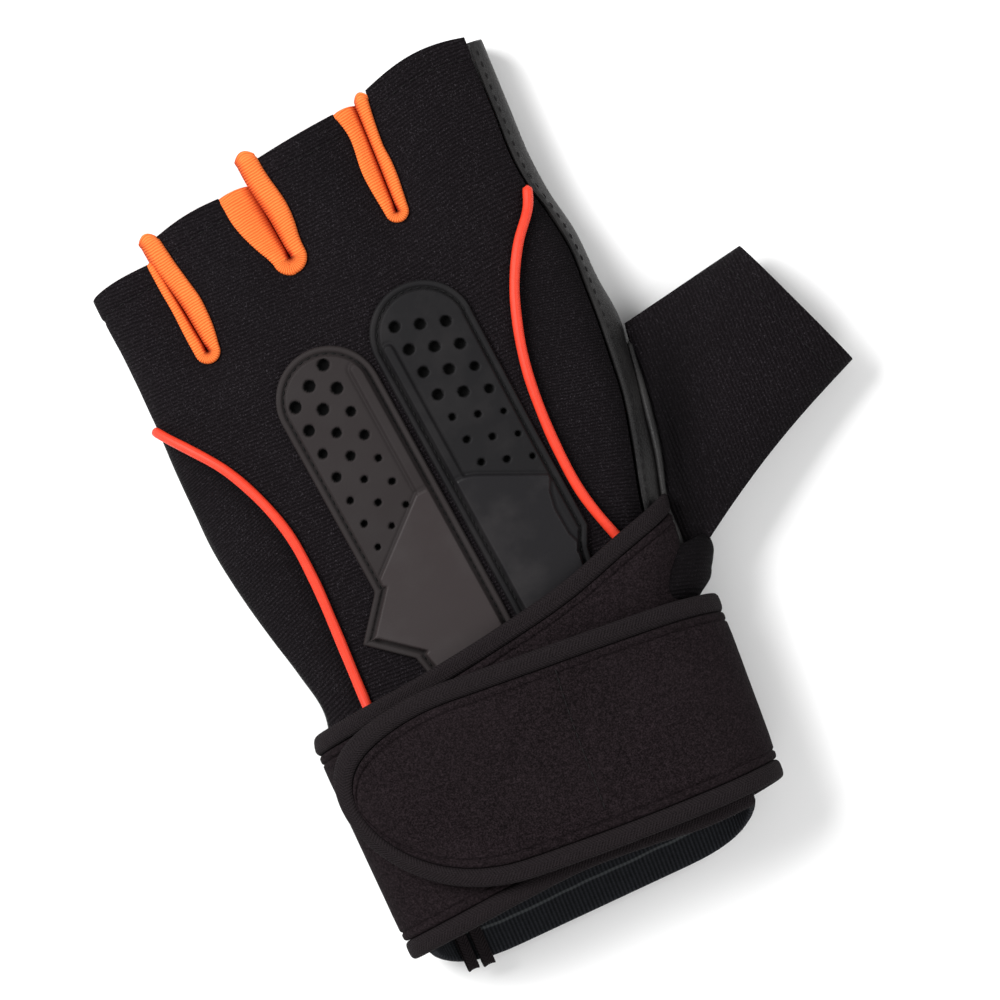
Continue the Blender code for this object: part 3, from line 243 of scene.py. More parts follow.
@dataclass(frozen=True)
class Bag:
    """The hollow bag of the hand and the cuff.

    Its surface is a function of y and of a place round the section: place 0 is the side seam by the thumb,
    half of the places lie over the back and the others under the palm.
    """

    length: float = 135.0
    width: float = 106.8
    height: float = 25.5
    wrist_width: float = 87.8
    wrist_height: float = 23.0
    wrist_offset: float = -3.4
    wrist_lift: float = 4.0
    cuff_length: float = 60.5
    cuff_taper: float = 5.0
    back_power: float = 2.4
    palm_power: float = 3.0
    palm_flat: float = 0.45
    seam_share: float = 0.42
    places: int = 160
    valley_depth: float = 3.2
    valley_reach: float = 7.0
    # along, left, right, side, crown, sole, hand: shares, as in the part
    sections: tuple[tuple[float, ...], ...] = (
        (0.00, 0.00, 0.00, 0.58, 1.00, 1.00, 0.0),
        (0.05, -0.25, 0.35, 0.54, 0.99, 0.95, 0.2),
        (0.13, 0.00, 0.52, 0.49, 1.00, 0.60, 0.5),
        (0.21, 0.39, 0.75, 0.46, 1.02, 0.25, 0.8),
        (0.30, 0.76, 0.86, 0.44, 1.04, 0.05, 1.0),
        (0.40, 1.00, 1.00, 0.42, 1.04, 0.00, 1.0),
        (0.45, 1.00, 1.08, 0.41, 1.03, 0.00, 1.0),
        (0.53, 1.00, 1.03, 0.40, 1.02, 0.00, 1.0),
        (0.62, 0.94, 1.02, 0.39, 1.00, 0.00, 1.0),
        (0.70, 0.94, 0.89, 0.38, 0.96, 0.00, 1.0),
        (0.76, 0.97, 0.85, 0.38, 0.92, 0.00, 1.0),
        (0.86, 1.05, 0.89, 0.38, 0.85, 0.00, 1.0),
        (1.00, 1.07, 0.96, 0.38, 0.79, 0.00, 1.0),
    )

    @property
    def half(self) -> int:
        """The place of the little finger's side seam."""
        return self.places // 2

    def _half_section(self, power: float, flat: float, height: float) -> tuple[np.ndarray, np.ndarray, float]:
        """Half a section: a superellipse from +1 to -1 across, read at even steps along it.

        Args:
            power: The superellipse's power.
            flat: The share of its half width that lies flat.
            height: Its height in millimetres, for the steps.

        Returns:
            Its across and height shares, and the length of a step.
        """
        angle = np.linspace(0.0, math.pi, 20 * self.places + 1)
        cosine = np.cos(angle)
        across = np.sign(cosine) * (flat + (1 - flat) * np.abs(cosine) ** (2 / power))
        across[np.abs(cosine) < 1e-9] = 0.0
        rise = np.sin(angle).clip(0.0) ** (2 / power)
        steps = np.hypot(np.diff(across) * self.width / 2, np.diff(rise) * height)
        length = running_total(steps)
        even = np.linspace(0.0, length[-1], self.half + 1)
        return np.interp(even, length, across), np.interp(even, length, rise), length[-1] / self.half

    @cached_property
    def back(self) -> tuple[np.ndarray, np.ndarray, float]:
        """The half section over the back."""
        return self._half_section(self.back_power, 0.0, self.height * (1 - self.seam_share))

    @cached_property
    def palm(self) -> tuple[np.ndarray, np.ndarray, float]:
        """The half section under the palm."""
        return self._half_section(self.palm_power, self.palm_flat, self.height * self.seam_share)

    @cached_property
    def ring(self) -> tuple[np.ndarray, np.ndarray, np.ndarray]:
        """The whole section's across, rise and drop shares at each place."""
        still = np.zeros(self.half)
        across = np.concatenate([self.back[0], self.palm[0][::-1][1:]])
        return across, np.concatenate([self.back[1], still]), np.concatenate([still, self.palm[1][::-1]])

    def section(self, y: np.ndarray) -> tuple[np.ndarray, ...]:
        """The bag's left and right ends, side seam height, crown height and sole height at y."""
        columns = list(zip(*self.sections))
        share = np.clip(np.asarray(y, float) / self.length, 0.0, 1.0)
        left, right, side, crown, sole, hand = (smooth(share, columns[0], column) for column in columns[1:])
        wrist_left = self.wrist_offset - self.wrist_width / 2
        wrist_right = self.wrist_offset + self.wrist_width / 2
        wrist_top = self.wrist_lift + self.wrist_height
        top = wrist_top + (self.height - wrist_top) * hand
        taper = self.cuff_taper * np.clip(-np.asarray(y, float) / self.cuff_length, 0.0, 1.0)
        return (
            wrist_left + left * (-self.width / 2 - wrist_left),
            wrist_right + right * (self.width / 2 - wrist_right) - taper,
            side * top,
            crown * top,
            np.maximum(sole, 0.0) * self.wrist_lift,
        )

    def crease_x(self, crease: Crease, y: np.ndarray) -> np.ndarray:
        """The crease's x at y, on the straight line through its two ends."""
        across, along = np.array([crease.crotch, crease.tip]).T
        share = (y / self.length - along[0]) / (along[1] - along[0])
        return (across[0] + (across[1] - across[0]) * share) * self.width / 2

    def valley(self, x: np.ndarray, y: np.ndarray) -> np.ndarray:
        """How far the back dips between the fingers: a bell across each crease, from below its crotch."""
        depth = np.zeros(np.broadcast(x, y).shape)
        for crease in CREASES:
            crotch = crease.crotch[1] * self.length
            beside = x - self.crease_x(crease, y)
            depth = depth + self.valley_depth * bell(beside, self.valley_reach) * ease(
                y, crotch - 2 * self.valley_reach, crotch
            )
        return depth

    def skin(self, y: np.ndarray, place: np.ndarray, out: np.ndarray = 0.0) -> np.ndarray:
        """Points of the bag, moved outwards along the section's normal.

        Args:
            y: The points' y. The cuff's is negative.
            place: The places round the section.
            out: How far the points stand out of the bag.

        Returns:
            The points, with their coordinates on the last axis.
        """
        y, place, out = np.broadcast_arrays(np.asarray(y, float), np.asarray(place, float), out)
        left, right, side, crown, sole = self.section(y)
        turn = np.arange(self.places + 1)

        def at(where: np.ndarray) -> tuple[np.ndarray, np.ndarray, np.ndarray]:
            """The section's x, z and rise at a place."""
            across, rise, drop = (np.interp(where % self.places, turn, column) for column in self.ring)
            x = (left + right) / 2 + (right - left) / 2 * across
            return x, side + (crown - side) * rise - (side - sole) * drop, rise

        x, z, rise = at(place)
        ahead, behind = at(place + 0.5), at(place - 0.5)
        along_x, along_z = ahead[0] - behind[0], ahead[1] - behind[1]
        reach = np.hypot(along_x, along_z)
        z = z - self.valley(x, y) * ease(rise, 0.0, 0.6)
        return np.stack([x + along_z / reach * out, y, z - along_x / reach * out], axis=-1)

    def up(self, y: np.ndarray, place: np.ndarray, out: np.ndarray = 0.0) -> np.ndarray:
        """The direction, of length 1, in which the bag's surface faces."""
        return self.skin(y, place, out + 1.0) - self.skin(y, place, out)

    def across(self, x: np.ndarray, y: np.ndarray) -> np.ndarray:
        """How far across the section x is, from -1 at its left end to 1 at its right end."""
        left, right = self.section(y)[:2]
        return (2 * x - left - right) / (right - left)

    def back_place(self, x: np.ndarray, y: np.ndarray) -> np.ndarray:
        """The place on the back at x."""
        return np.interp(-self.across(x, y), -self.back[0], np.arange(self.half + 1))

    def palm_place(self, x: np.ndarray, y: np.ndarray) -> np.ndarray:
        """The place on the palm at x."""
        return np.interp(self.across(x, y), self.palm[0][::-1], np.arange(self.half, self.places + 1))

    def seam(self, route: tuple[tuple[float, float], ...], y: np.ndarray) -> np.ndarray:
        """The place on the back of a seam, from its table of (along, across) shares."""
        along, across = np.array(sorted(route)).T
        return self.back_place(smooth(np.asarray(y) / self.length, along, across) * self.width / 2, y)

    def hem(self, finger: Finger, side: int) -> float:
        """The y of a finger's hem at its little finger side (0) or thumb side (1)."""
        return finger.value[side] * self.length


STRIP_SEAM = (
    (0.00, 0.700), (0.17, 0.779), (0.25, 0.839), (0.32, 0.884), (0.44, 0.923), (0.51, 0.940),
    (0.585, 0.953), (0.667, 0.934), (0.74, 0.897), (0.867, 0.904), (1.00, 0.927),
)  # along, across
PIPINGS = {
    Side.LITTLE: (
        (0.612, -0.985), (0.590, -0.950), (0.560, -0.895), (0.504, -0.796), (0.433, -0.713),
        (0.357, -0.660), (0.270, -0.644), (0.186, -0.648), (0.120, -0.655), (0.020, -0.665),
    ),
    Side.INDEX: (
        (0.722, 0.885), (0.688, 0.850), (0.641, 0.755), (0.582, 0.667), (0.518, 0.605), (0.442, 0.558),
        (0.362, 0.536), (0.287, 0.532), (0.210, 0.545), (0.125, 0.597), (0.080, 0.635),
    ),
}  # along, across
KNUCKLES = {Side.LITTLE: 0.64, Side.INDEX: 0.74}  # where the outer fingers start, at the sides
THUMB_HOLE_TOP = 0.44
SEAM_GAP = 0.35  # half the visible gap along a seam
SIDE_GAP = 0.3  # the same along the little finger's side seam, in places round the bag
HEM = 5.2  # depth of the fingers' turned hems
BAG = Bag()


# Meshes


def grid_faces(rows: int, columns: int, first: int) -> np.ndarray:
    """The quads of a grid of points, numbered row by row from first."""
    corner = first + np.arange(rows - 1)[:, None] * columns + np.arange(columns - 1)
    return np.stack([corner, corner + columns, corner + columns + 1, corner + 1], axis=-1).reshape(-1, 4)


def put_in_scene(name: str, data: bpy.types.ID) -> bpy.types.Object:
    """Makes an object of new data and links it to the scene."""
    made = bpy.data.objects.new(name, data)
    bpy.context.scene.collection.objects.link(made)
    return made


@dataclass
class Piece:
    """A piece of the glove: grids of points that join where they touch, with a weave map in millimetres."""

    name: str
    points: list[np.ndarray] = field(default_factory=list)
    faces: list[np.ndarray] = field(default_factory=list)
    weave: list[np.ndarray] = field(default_factory=list)
    shade: list[np.ndarray] = field(default_factory=list)

    @property
    def count(self) -> int:
        """How many points the piece has so far."""
        return sum(len(points) for points in self.points)

    def grid(self, points: np.ndarray, weave: np.ndarray, shade: np.ndarray | float = 0.0) -> None:
        """Adds a grid of points.

        Args:
            points: Points by row and column.
            weave: Their (along the rib, across the ribs) places on the cloth.
            shade: A number for the finish at each point: its painted shade, and on the pads also a darker
                field.
        """
        rows, columns = points.shape[:2]
        self.faces.append(grid_faces(rows, columns, self.count))
        self.points.append(points.reshape(-1, 3))
        self.weave.append(np.broadcast_to(weave, (rows, columns, 2)).reshape(-1, 2))
        self.shade.append(np.broadcast_to(shade, (rows, columns)).reshape(-1))

    def cap(self, ring: np.ndarray) -> None:
        """Closes a ring of point numbers with one face."""
        self.faces.append(np.asarray(ring))

    def cap_ends(self, sides: int, step: int = 1) -> None:
        """Closes both ends of the piece's one tube. Step is -1 where it is wound the other way."""
        self.cap(np.arange(sides)[::step])
        self.cap(self.count - sides - 1 + np.arange(sides)[::-step])

    def build(self, finish: bpy.types.Material, slot: str, replaces: tuple[str, ...] = (), weld: bool = True,
              turn_out: bool = False) -> bpy.types.Object:
        """Makes the mesh object, in the glove's own frame and in metres.

        Args:
            finish: Its material.
            slot: The name of a material slot. It is not used.
            replaces: The CAD nodes that it stands for.
            weld: Whether grids are joined where they touch.
            turn_out: Whether a closed mesh's faces are turned outwards.

        Returns:
            The object.
        """
        points = np.concatenate(self.points)
        faces = []
        for block in self.faces:
            faces += block.tolist() if block.ndim == 2 else [block.tolist()]
        mesh = bpy.data.meshes.new(self.name)
        mesh.from_pydata(((points + CUFF_SEAM) * MM).tolist(), [], faces)
        corners = np.empty(len(mesh.loops), np.int32)
        mesh.loops.foreach_get("vertex_index", corners)
        weave = mesh.uv_layers.new(name="weave")
        weave.data.foreach_set("uv", np.concatenate(self.weave)[corners].astype(np.float32).ravel())
        shade = mesh.attributes.new("shade", "FLOAT", "POINT")
        shade.data.foreach_set("value", np.concatenate(self.shade).astype(np.float32))
        if weld or turn_out:
            shape = bmesh.new()
            shape.from_mesh(mesh)
            bmesh.ops.remove_doubles(shape, verts=shape.verts, dist=0.002 * MM)
            if turn_out:
                bmesh.ops.recalc_face_normals(shape, faces=shape.faces)
            shape.to_mesh(mesh)
            shape.free()
        mesh.shade_smooth()
        mesh.materials.append(finish)
        made = put_in_scene(self.name, mesh)
        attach(made, "root")
        if replaces:
            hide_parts(*replaces)
        log.info("%s: %d points", self.name, len(mesh.vertices))
        return made


def thicken(made: bpy.types.Object, wall: float, offset: float = -1.0, round_off: float = 0.3) -> None:
    """Gives a sheet its wall, with rounded edges.

    Args:
        made: The sheet.
        wall: Its thickness.
        offset: -1 where the sheet is its outer face and 0 where it is its middle.
        round_off: The width of the rounding.
    """
    solid = made.modifiers.new("wall", "SOLIDIFY")
    solid.thickness = wall * MM
    solid.offset = offset
    rounding = made.modifiers.new("edge", "BEVEL")
    rounding.width = round_off * MM
    rounding.segments = 2
    rounding.limit_method = "ANGLE"
    rounding.angle_limit = math.radians(50)
    rounding.harden_normals = False


def tube(path: np.ndarray, up: np.ndarray, radius: np.ndarray, sides: int) -> np.ndarray:
    """A tube's grid of points: circles in the planes across a path.

    Args:
        path: The path's points.
        up: A direction at each point that isn't along the path.
        radius: The radius at each point.
        sides: The number of sides.

    Returns:
        Points by station and side, with the first side again at the end.
    """
    along = np.gradient(path, axis=0)
    along /= np.linalg.norm(along, axis=1)[:, None]
    over = np.cross(along, up)
    over /= np.linalg.norm(over, axis=1)[:, None]
    top = np.cross(over, along)
    angle = np.linspace(0.0, 2 * math.pi, sides + 1)
    circle = over[:, None] * np.cos(angle)[:, None] + top[:, None] * np.sin(angle)[:, None]
    return path[:, None] + circle * np.asarray(radius)[:, None, None]


def round_ends(length: np.ndarray, radius: float) -> np.ndarray:
    """The radius of a cord with rounded ends at lengths along it."""
    return radius * quarter_round(np.minimum(length, length[-1] - length), radius, 0.02)


@dataclass
class Stitching:
    """Rows of thread on the glove, all in one piece. Each stitch is a short capsule that dips at its ends."""

    name: str
    stitch: float = 1.7
    pitch: float = 2.5
    radius: float = 0.17
    piece: Piece = field(init=False)

    def __post_init__(self) -> None:
        """Starts the piece."""
        self.piece = Piece(self.name)

    def row(self, path: np.ndarray, up: np.ndarray, pitch: float | None = None) -> None:
        """Adds a row of stitches along a path.

        Args:
            path: Points of the row, on the cloth.
            up: The cloth's outward direction at each point.
            pitch: The distance from stitch to stitch, where it isn't the usual one.
        """
        pitch = pitch or self.pitch
        length = path_length(path)
        starts = np.arange(0.3 * pitch, length[-1] - self.stitch, pitch)
        steps = np.linspace(0.0, 1.0, 5)
        at = starts[:, None] + steps * self.stitch
        lift = read_path(at, length, up)
        bow = self.radius * (np.sin(math.pi * steps) * 1.3 - 0.55)
        spine = read_path(at, length, path) + lift * bow[None, :, None]
        along = spine[:, -1] - spine[:, 0]
        along /= np.linalg.norm(along, axis=1)[:, None]
        over = np.cross(along[:, None], lift)
        angle = np.linspace(0.0, 2 * math.pi, 7)
        thick = self.radius * np.array([0.25, 0.85, 1.0, 0.85, 0.25])
        circle = over[:, :, None] * np.cos(angle)[:, None] + lift[:, :, None] * np.sin(angle)[:, None]
        rings = spine[:, :, None] + circle * thick[None, :, None, None]
        for ring in rings:
            self.piece.grid(ring[:, ::-1], np.zeros(2))


# Shader maths


class Channel:
    """A node's output. Sums, products and functions of it add Math nodes."""

    def __init__(self, tree: bpy.types.NodeTree, socket: bpy.types.NodeSocket) -> None:
        """Keeps the output.

        Args:
            tree: The node tree that it is in.
            socket: The output.
        """
        self.tree = tree
        self.socket = socket

    def maths(self, operation: str, *values: "Channel | float") -> "Channel":
        """Adds a Math node whose first value is this channel.

        Args:
            operation: The node's operation.
            values: Its other values.

        Returns:
            The node's output.
        """
        node = self.tree.nodes.new("ShaderNodeMath")
        node.operation = operation
        for place, value in enumerate((self, *values)):
            feed(self.tree, node.inputs[place], value)
        return Channel(self.tree, node.outputs[0])

    def __add__(self, other: "Channel | float") -> "Channel":
        """Their sum."""
        return self.maths("ADD", other)

    __radd__ = __add__

    def __mul__(self, other: "Channel | float") -> "Channel":
        """Their product."""
        return self.maths("MULTIPLY", other)

    __rmul__ = __mul__

    def __sub__(self, other: "Channel | float") -> "Channel":
        """Their difference."""
        return self.maths("SUBTRACT", other)

    def __rsub__(self, other: float) -> "Channel":
        """A number less this channel."""
        return self.maths("MULTIPLY_ADD", -1.0, other)

    def __truediv__(self, other: "Channel | float") -> "Channel":
        """Their quotient."""
        return self.maths("DIVIDE", other)

    def wave(self, pitch: float) -> "Channel":
        """A wave of this channel from 0 to 1, with a period of pitch."""
        return (self * (2 * math.pi / pitch)).maths("SINE") * 0.5 + 0.5

    def power(self, other: float) -> "Channel":
        """This channel raised to a power."""
        return self.maths("POWER", other)

    def between(self, low: float, high: float) -> "Channel":
        """0 below low, 1 above high and a straight rise between them."""
        return ((self - low) * (1 / (high - low))).maths("MINIMUM", 1.0).maths("MAXIMUM", 0.0)

    def line(self, middle: float, width: float) -> "Channel":
        """1 where this channel is near a value, and 0 past a width from it."""
        return 1 - (self - middle).maths("ABSOLUTE").between(width * 0.4, width)


def feed(tree: bpy.types.NodeTree, socket: bpy.types.NodeSocket, value: Channel | float | tuple) -> None:
    """Gives a node's input its value, or a link where the value is a channel."""
    if isinstance(value, Channel):
        tree.links.new(value.socket, socket)
    else:
        socket.default_value = value


@dataclass
class Shader:
    """A material that is built node by node."""

    name: str
    material: bpy.types.Material = field(init=False)

    def __post_init__(self) -> None:
        """Makes the material with its Principled shader."""
        self.material = bpy.data.materials.new(self.name)
        self.material.use_nodes = True
        self.tree = self.material.node_tree
        self.surface = self.tree.nodes["Principled BSDF"]

    def node(self, kind: str, settings: dict | None = None, sockets: dict | None = None,
             output: int | str = 0) -> Channel:
        """Adds a node.

        Args:
            kind: The node's type.
            settings: Its own settings, set before its sockets.
            sockets: Values or channels for its inputs, by name or number.
            output: Which output is wanted.

        Returns:
            That output.
        """
        made = self.tree.nodes.new(kind)
        for key, value in (settings or {}).items():
            setattr(made, key, value)
        for key, value in (sockets or {}).items():
            feed(self.tree, made.inputs[key], value)
        return Channel(self.tree, made.outputs[output])

    def weave(self) -> tuple[Channel, Channel]:
        """The piece's own map, in millimetres: along its ribs and across them."""
        both = self.node("ShaderNodeUVMap", {"uv_map": "weave"})
        split = self.node("ShaderNodeSeparateXYZ", sockets={0: both})
        node = split.socket.node
        return Channel(self.tree, node.outputs[0]), Channel(self.tree, node.outputs[1])

    def shade(self) -> Channel:
        """The painted shade, and on the pads a darker field, that the piece's builder stored at each point.
        """
        return self.node("ShaderNodeAttribute", {"attribute_name": "shade"}, output="Fac")

    def noise(self, size: float, detail: float = 2.0, rough: float = 0.5) -> Channel:
        """Noise on Object coordinates whose cells are about size millimetres."""
        place = self.node("ShaderNodeTexCoord", output="Object")
        return self.node(
            "ShaderNodeTexNoise",
            sockets={"Vector": place, "Scale": 1 / (size * MM), "Detail": detail, "Roughness": rough},
        )

    def cells(self, size: float) -> Channel:
        """The distance to the edge of the nearest of cells of about size millimetres."""
        place = self.node("ShaderNodeTexCoord", output="Object")
        return self.node(
            "ShaderNodeTexVoronoi",
            {"feature": "DISTANCE_TO_EDGE"},
            {"Vector": place, "Scale": 1 / (size * MM)},
        )

    def mix(self, share: Channel | float, first: Channel | tuple, second: Channel | tuple) -> Channel:
        """A mix of two colours."""
        first = (*first, 1.0) if isinstance(first, tuple) else first
        second = (*second, 1.0) if isinstance(second, tuple) else second
        return self.node("ShaderNodeMix", {"data_type": "RGBA"}, {0: share, 6: first, 7: second}, output=2)

    def finish(self, colour: Channel | tuple, rough: Channel | float, height: Channel | None = None,
               depth: float = 0.1, **constants: float) -> bpy.types.Material:
        """Links the surface.

        Args:
            colour: Its base colour.
            rough: Its roughness.
            height: Its relief, from 0 to 1.
            depth: The relief's depth in millimetres.
            constants: Other inputs of the Principled shader, with underscores for spaces.

        Returns:
            The material.
        """
        values = {"Base Color": (*colour, 1.0) if isinstance(colour, tuple) else colour, "Roughness": rough}
        if height is not None:
            values["Normal"] = self.node("ShaderNodeBump", sockets={"Distance": depth * MM, "Height": height})
        values.update({key.replace("_", " "): value for key, value in constants.items()})
        for key, value in values.items():
            feed(self.tree, self.surface.inputs[key], value)
        return self.material


# Finishes


@dataclass(frozen=True)
class Knit:
    """Black ribbed knit: rows of ribs, each a chain of small loops, with grey flecks of fibre.

    Shade is painted shade, where a fold or a seam of the knit lies in shadow.
    """

    name: str = "black_ribbed_knit"
    pitch: float = 0.86
    loop: float = 0.62
    groove: tuple = (0.0026, 0.0019, 0.0024)
    ridge: tuple = (0.0112, 0.0088, 0.0105)
    fleck: tuple = (0.100, 0.090, 0.102)
    shadow: tuple = (0.0014, 0.0012, 0.0014)

    def make(self) -> bpy.types.Material:
        """Makes the material: ribs wander with a broad noise, and every other rib's loops are shifted."""
        shader = Shader(self.name)
        along, across = shader.weave()
        wander = shader.noise(28.0, 1.0) * 1.5 + shader.noise(1.6, 2.0) * 0.5
        row = (across + wander) / self.pitch
        rib = row.wave(1.0)
        shift = row.maths("FLOOR") * (0.5 * self.loop)
        chain = (along + shift).wave(self.loop)
        height = rib * 0.55 + rib * chain * 0.45
        fibre = shader.noise(0.38, 3.0, 0.75)
        colour = shader.mix(height * 0.7 + fibre.between(0.35, 0.7) * 0.3, self.groove, self.ridge)
        colour = shader.mix(fibre.between(0.57, 0.76) * 0.5, colour, self.fleck)
        broad = shader.noise(22.0, 3.0)
        colour = shader.mix(broad.between(0.35, 0.75) * 0.25, colour, self.groove)
        # painted shade: the knit turns to the shadow colour by the stored shade
        colour = shader.mix(shader.shade(), colour, self.shadow)
        return shader.finish(colour, 0.9, height + fibre * 0.5, 0.20, Specular_IOR_Level=0.06)


@dataclass(frozen=True)
class Leather:
    """Smooth black leather with a fine pebble grain and soft sheen."""

    name: str = "black_leather"
    colour: tuple = (0.0085, 0.0080, 0.0082)
    worn: tuple = (0.019, 0.0178, 0.0175)

    def make(self) -> bpy.types.Material:
        """Makes the material: cells give the grain, and a broad noise the wear."""
        shader = Shader(self.name)
        grain = shader.cells(0.75).between(0.0, 0.16)
        wear = shader.noise(14.0, 4.0, 0.6)
        colour = shader.mix(wear.between(0.42, 0.72), self.colour, self.worn)
        rough = wear * 0.25 + 0.36
        height = grain * 0.7 + shader.noise(0.5, 2.0) * 0.5
        return shader.finish(colour, rough, height, 0.05, Specular_IOR_Level=0.2)


@dataclass(frozen=True)
class Stretch:
    """Bright orange ribbed stretch fabric, with painted shade that turns it dark red in its crease and near
    black at the crotch. Shade is 1 at the crease.
    """

    name: str = "orange_stretch"
    pitch: float = 0.66
    bright: tuple = (0.93, 0.222, 0.050)
    groove: tuple = (0.80, 0.105, 0.016)
    crease: tuple = (0.36, 0.012, 0.003)
    pit: tuple = (0.02, 0.001, 0.0005)

    def make(self) -> bpy.types.Material:
        """Makes the material: ribs across the roll, fibres along them, and the crease's painted shade by the
        stored shade.
        """
        shader = Shader(self.name)
        along, across = shader.weave()
        rib = (across + shader.noise(3.0, 1.0) * 0.5).wave(self.pitch).power(0.7)
        fibre = shader.noise(0.4, 3.0, 0.7)
        colour = shader.mix(rib * 0.8 + fibre * 0.2, self.groove, self.bright)
        # painted shade: dark red down the crease, and near black in the pit at the crotch
        deep = shader.shade()
        colour = shader.mix(deep.between(0.35, 1.1) * 0.9, colour, self.crease)
        colour = shader.mix(deep.between(1.15, 1.6) * 0.9, colour, self.pit)
        return shader.finish(
            colour, 0.8, rib + fibre * 0.2 + along.wave(0.6) * 0.08, 0.18, Specular_IOR_Level=0.15
        )


@dataclass(frozen=True)
class Piping:
    """Smooth red-orange piping with a faint line of fibres."""

    name: str = "red_orange_piping"
    colour: tuple = (0.82, 0.052, 0.020)
    shadow: tuple = (0.56, 0.027, 0.010)

    def make(self) -> bpy.types.Material:
        """Makes the material: fine lines along the cord over a soft variation."""
        shader = Shader(self.name)
        along, across = shader.weave()
        lines = across.wave(0.45)
        soft = shader.noise(1.6, 3.0, 0.6)
        colour = shader.mix(soft * 0.8 + lines * 0.2, self.shadow, self.colour)
        height = lines * 0.5 + soft * 0.5 + along.wave(1.3) * 0.1
        return shader.finish(colour, soft * 0.2 + 0.42, height, 0.04, Specular_IOR_Level=0.3)


@dataclass(frozen=True)
class Rubber:
    """Moulded satin rubber. Shade is painted shade, 1 inside a hole or groove; it is also a little above 0 on
    the field of holes, which is darker.
    """

    name: str
    colour: tuple
    pit: tuple = (0.0006, 0.0006, 0.0006)
    dust: tuple = (0.040, 0.036, 0.036)

    def make(self) -> bpy.types.Material:
        """Makes the material: a fine mould grain, a broad soft stain and the black painted shade of its pits.
        """
        shader = Shader(self.name)
        grain = shader.noise(0.35, 2.0)
        stain = shader.noise(11.0, 4.0, 0.55)
        colour = shader.mix(stain.between(0.45, 0.8) * 0.35, self.colour, self.dust)
        # painted shade: black in the holes and grooves, and a little darker on the field
        pit = shader.shade().between(0.0, 0.7)
        colour = shader.mix(pit, colour, self.pit)
        rough = stain * 0.14 + 0.45 + pit * 0.5
        return shader.finish(colour, rough, grain, 0.02, Specular_IOR_Level=0.16)


@dataclass(frozen=True)
class LoopFabric:
    """Brown-black laminated loop fabric with a fine speckle of fibres."""

    name: str = "brown_black_loop"
    deep: tuple = (0.0030, 0.0019, 0.0022)
    fibre: tuple = (0.027, 0.0190, 0.0220)

    def make(self) -> bpy.types.Material:
        """Makes the material: two sizes of fibre noise for colour and relief."""
        shader = Shader(self.name)
        fine = shader.noise(0.42, 4.0, 0.75)
        loops = shader.noise(1.1, 3.0, 0.65)
        broad = shader.noise(24.0, 3.0)
        share = fine.between(0.44, 0.72) * 0.8 + loops.between(0.45, 0.70) * 0.2
        colour = shader.mix(share, self.deep, self.fibre)
        colour = shader.mix(broad.between(0.4, 0.8) * 0.12, colour, self.fibre)
        return shader.finish(colour, 0.95, fine * 0.7 + loops * 0.6, 0.26, Specular_IOR_Level=0.06)


@dataclass(frozen=True)
class Twill:
    """Brown-black woven binding tape with a herringbone twill."""

    name: str = "twill_tape"
    deep: tuple = (0.0042, 0.0030, 0.0034)
    thread: tuple = (0.0185, 0.0145, 0.0160)

    def make(self) -> bpy.types.Material:
        """Makes the material: slanted ribs that turn back every few threads, crossed by fine threads."""
        shader = Shader(self.name)
        along, across = shader.weave()
        zigzag = (across / 1.9).maths("PINGPONG", 1.0) * 1.3
        rib = (along + zigzag).wave(0.78)
        thread = across.wave(0.5)
        height = rib * 0.7 + thread * 0.3
        fibre = shader.noise(0.4, 3.0, 0.7)
        colour = shader.mix(height * 0.5 + fibre.between(0.35, 0.7) * 0.5, self.deep, self.thread)
        return shader.finish(colour, 0.92, height + fibre * 0.3, 0.2, Specular_IOR_Level=0.08)


@dataclass(frozen=True)
class Elastic:
    """Green-black elastic: fine ribs along the hand, with thin grey threads along its edge.

    The weave's second value is the distance from the cuff's free end.
    """

    name: str = "ribbed_elastic"
    deep: tuple = (0.0042, 0.0046, 0.0054)
    ridge: tuple = (0.025, 0.027, 0.032)
    line: tuple = (0.085, 0.092, 0.095)

    def make(self) -> bpy.types.Material:
        """Makes the material: ribs and cross threads, and a grey thread at three distances from the end."""
        shader = Shader(self.name)
        around, inward = shader.weave()
        rib = around.wave(1.0)
        thread = inward.wave(0.62)
        height = rib * 0.7 + rib * thread * 0.3
        fibre = shader.noise(0.5, 3.0, 0.7)
        colour = shader.mix(height * 0.65 + fibre.between(0.35, 0.7) * 0.35, self.deep, self.ridge)
        wave = shader.noise(9.0, 1.0) * 0.9
        for place in (7.2, 15.0, 22.5):
            colour = shader.mix((inward + wave).line(place, 0.42) * 0.55, colour, self.line)
        return shader.finish(colour, 0.9, height, 0.24, Specular_IOR_Level=0.1)


@dataclass(frozen=True)
class Thread:
    """Sewing thread."""

    name: str
    colour: tuple

    def make(self) -> bpy.types.Material:
        """Makes the material: the colour with a fine variation."""
        shader = Shader(self.name)
        fibre = shader.noise(0.3, 2.0)
        light = tuple(1.7 * part for part in self.colour)
        return shader.finish(shader.mix(fibre, self.colour, light), 0.7, fibre, 0.03, Specular_IOR_Level=0.15)


@dataclass(frozen=True)
class Table:
    """The plain pale surface that the glove lies on."""

    name: str = "pale_table"
    colour: tuple = (0.93, 0.93, 0.93)

    def make(self) -> bpy.types.Material:
        """Makes the material."""
        return Shader(self.name).finish(self.colour, 0.7)


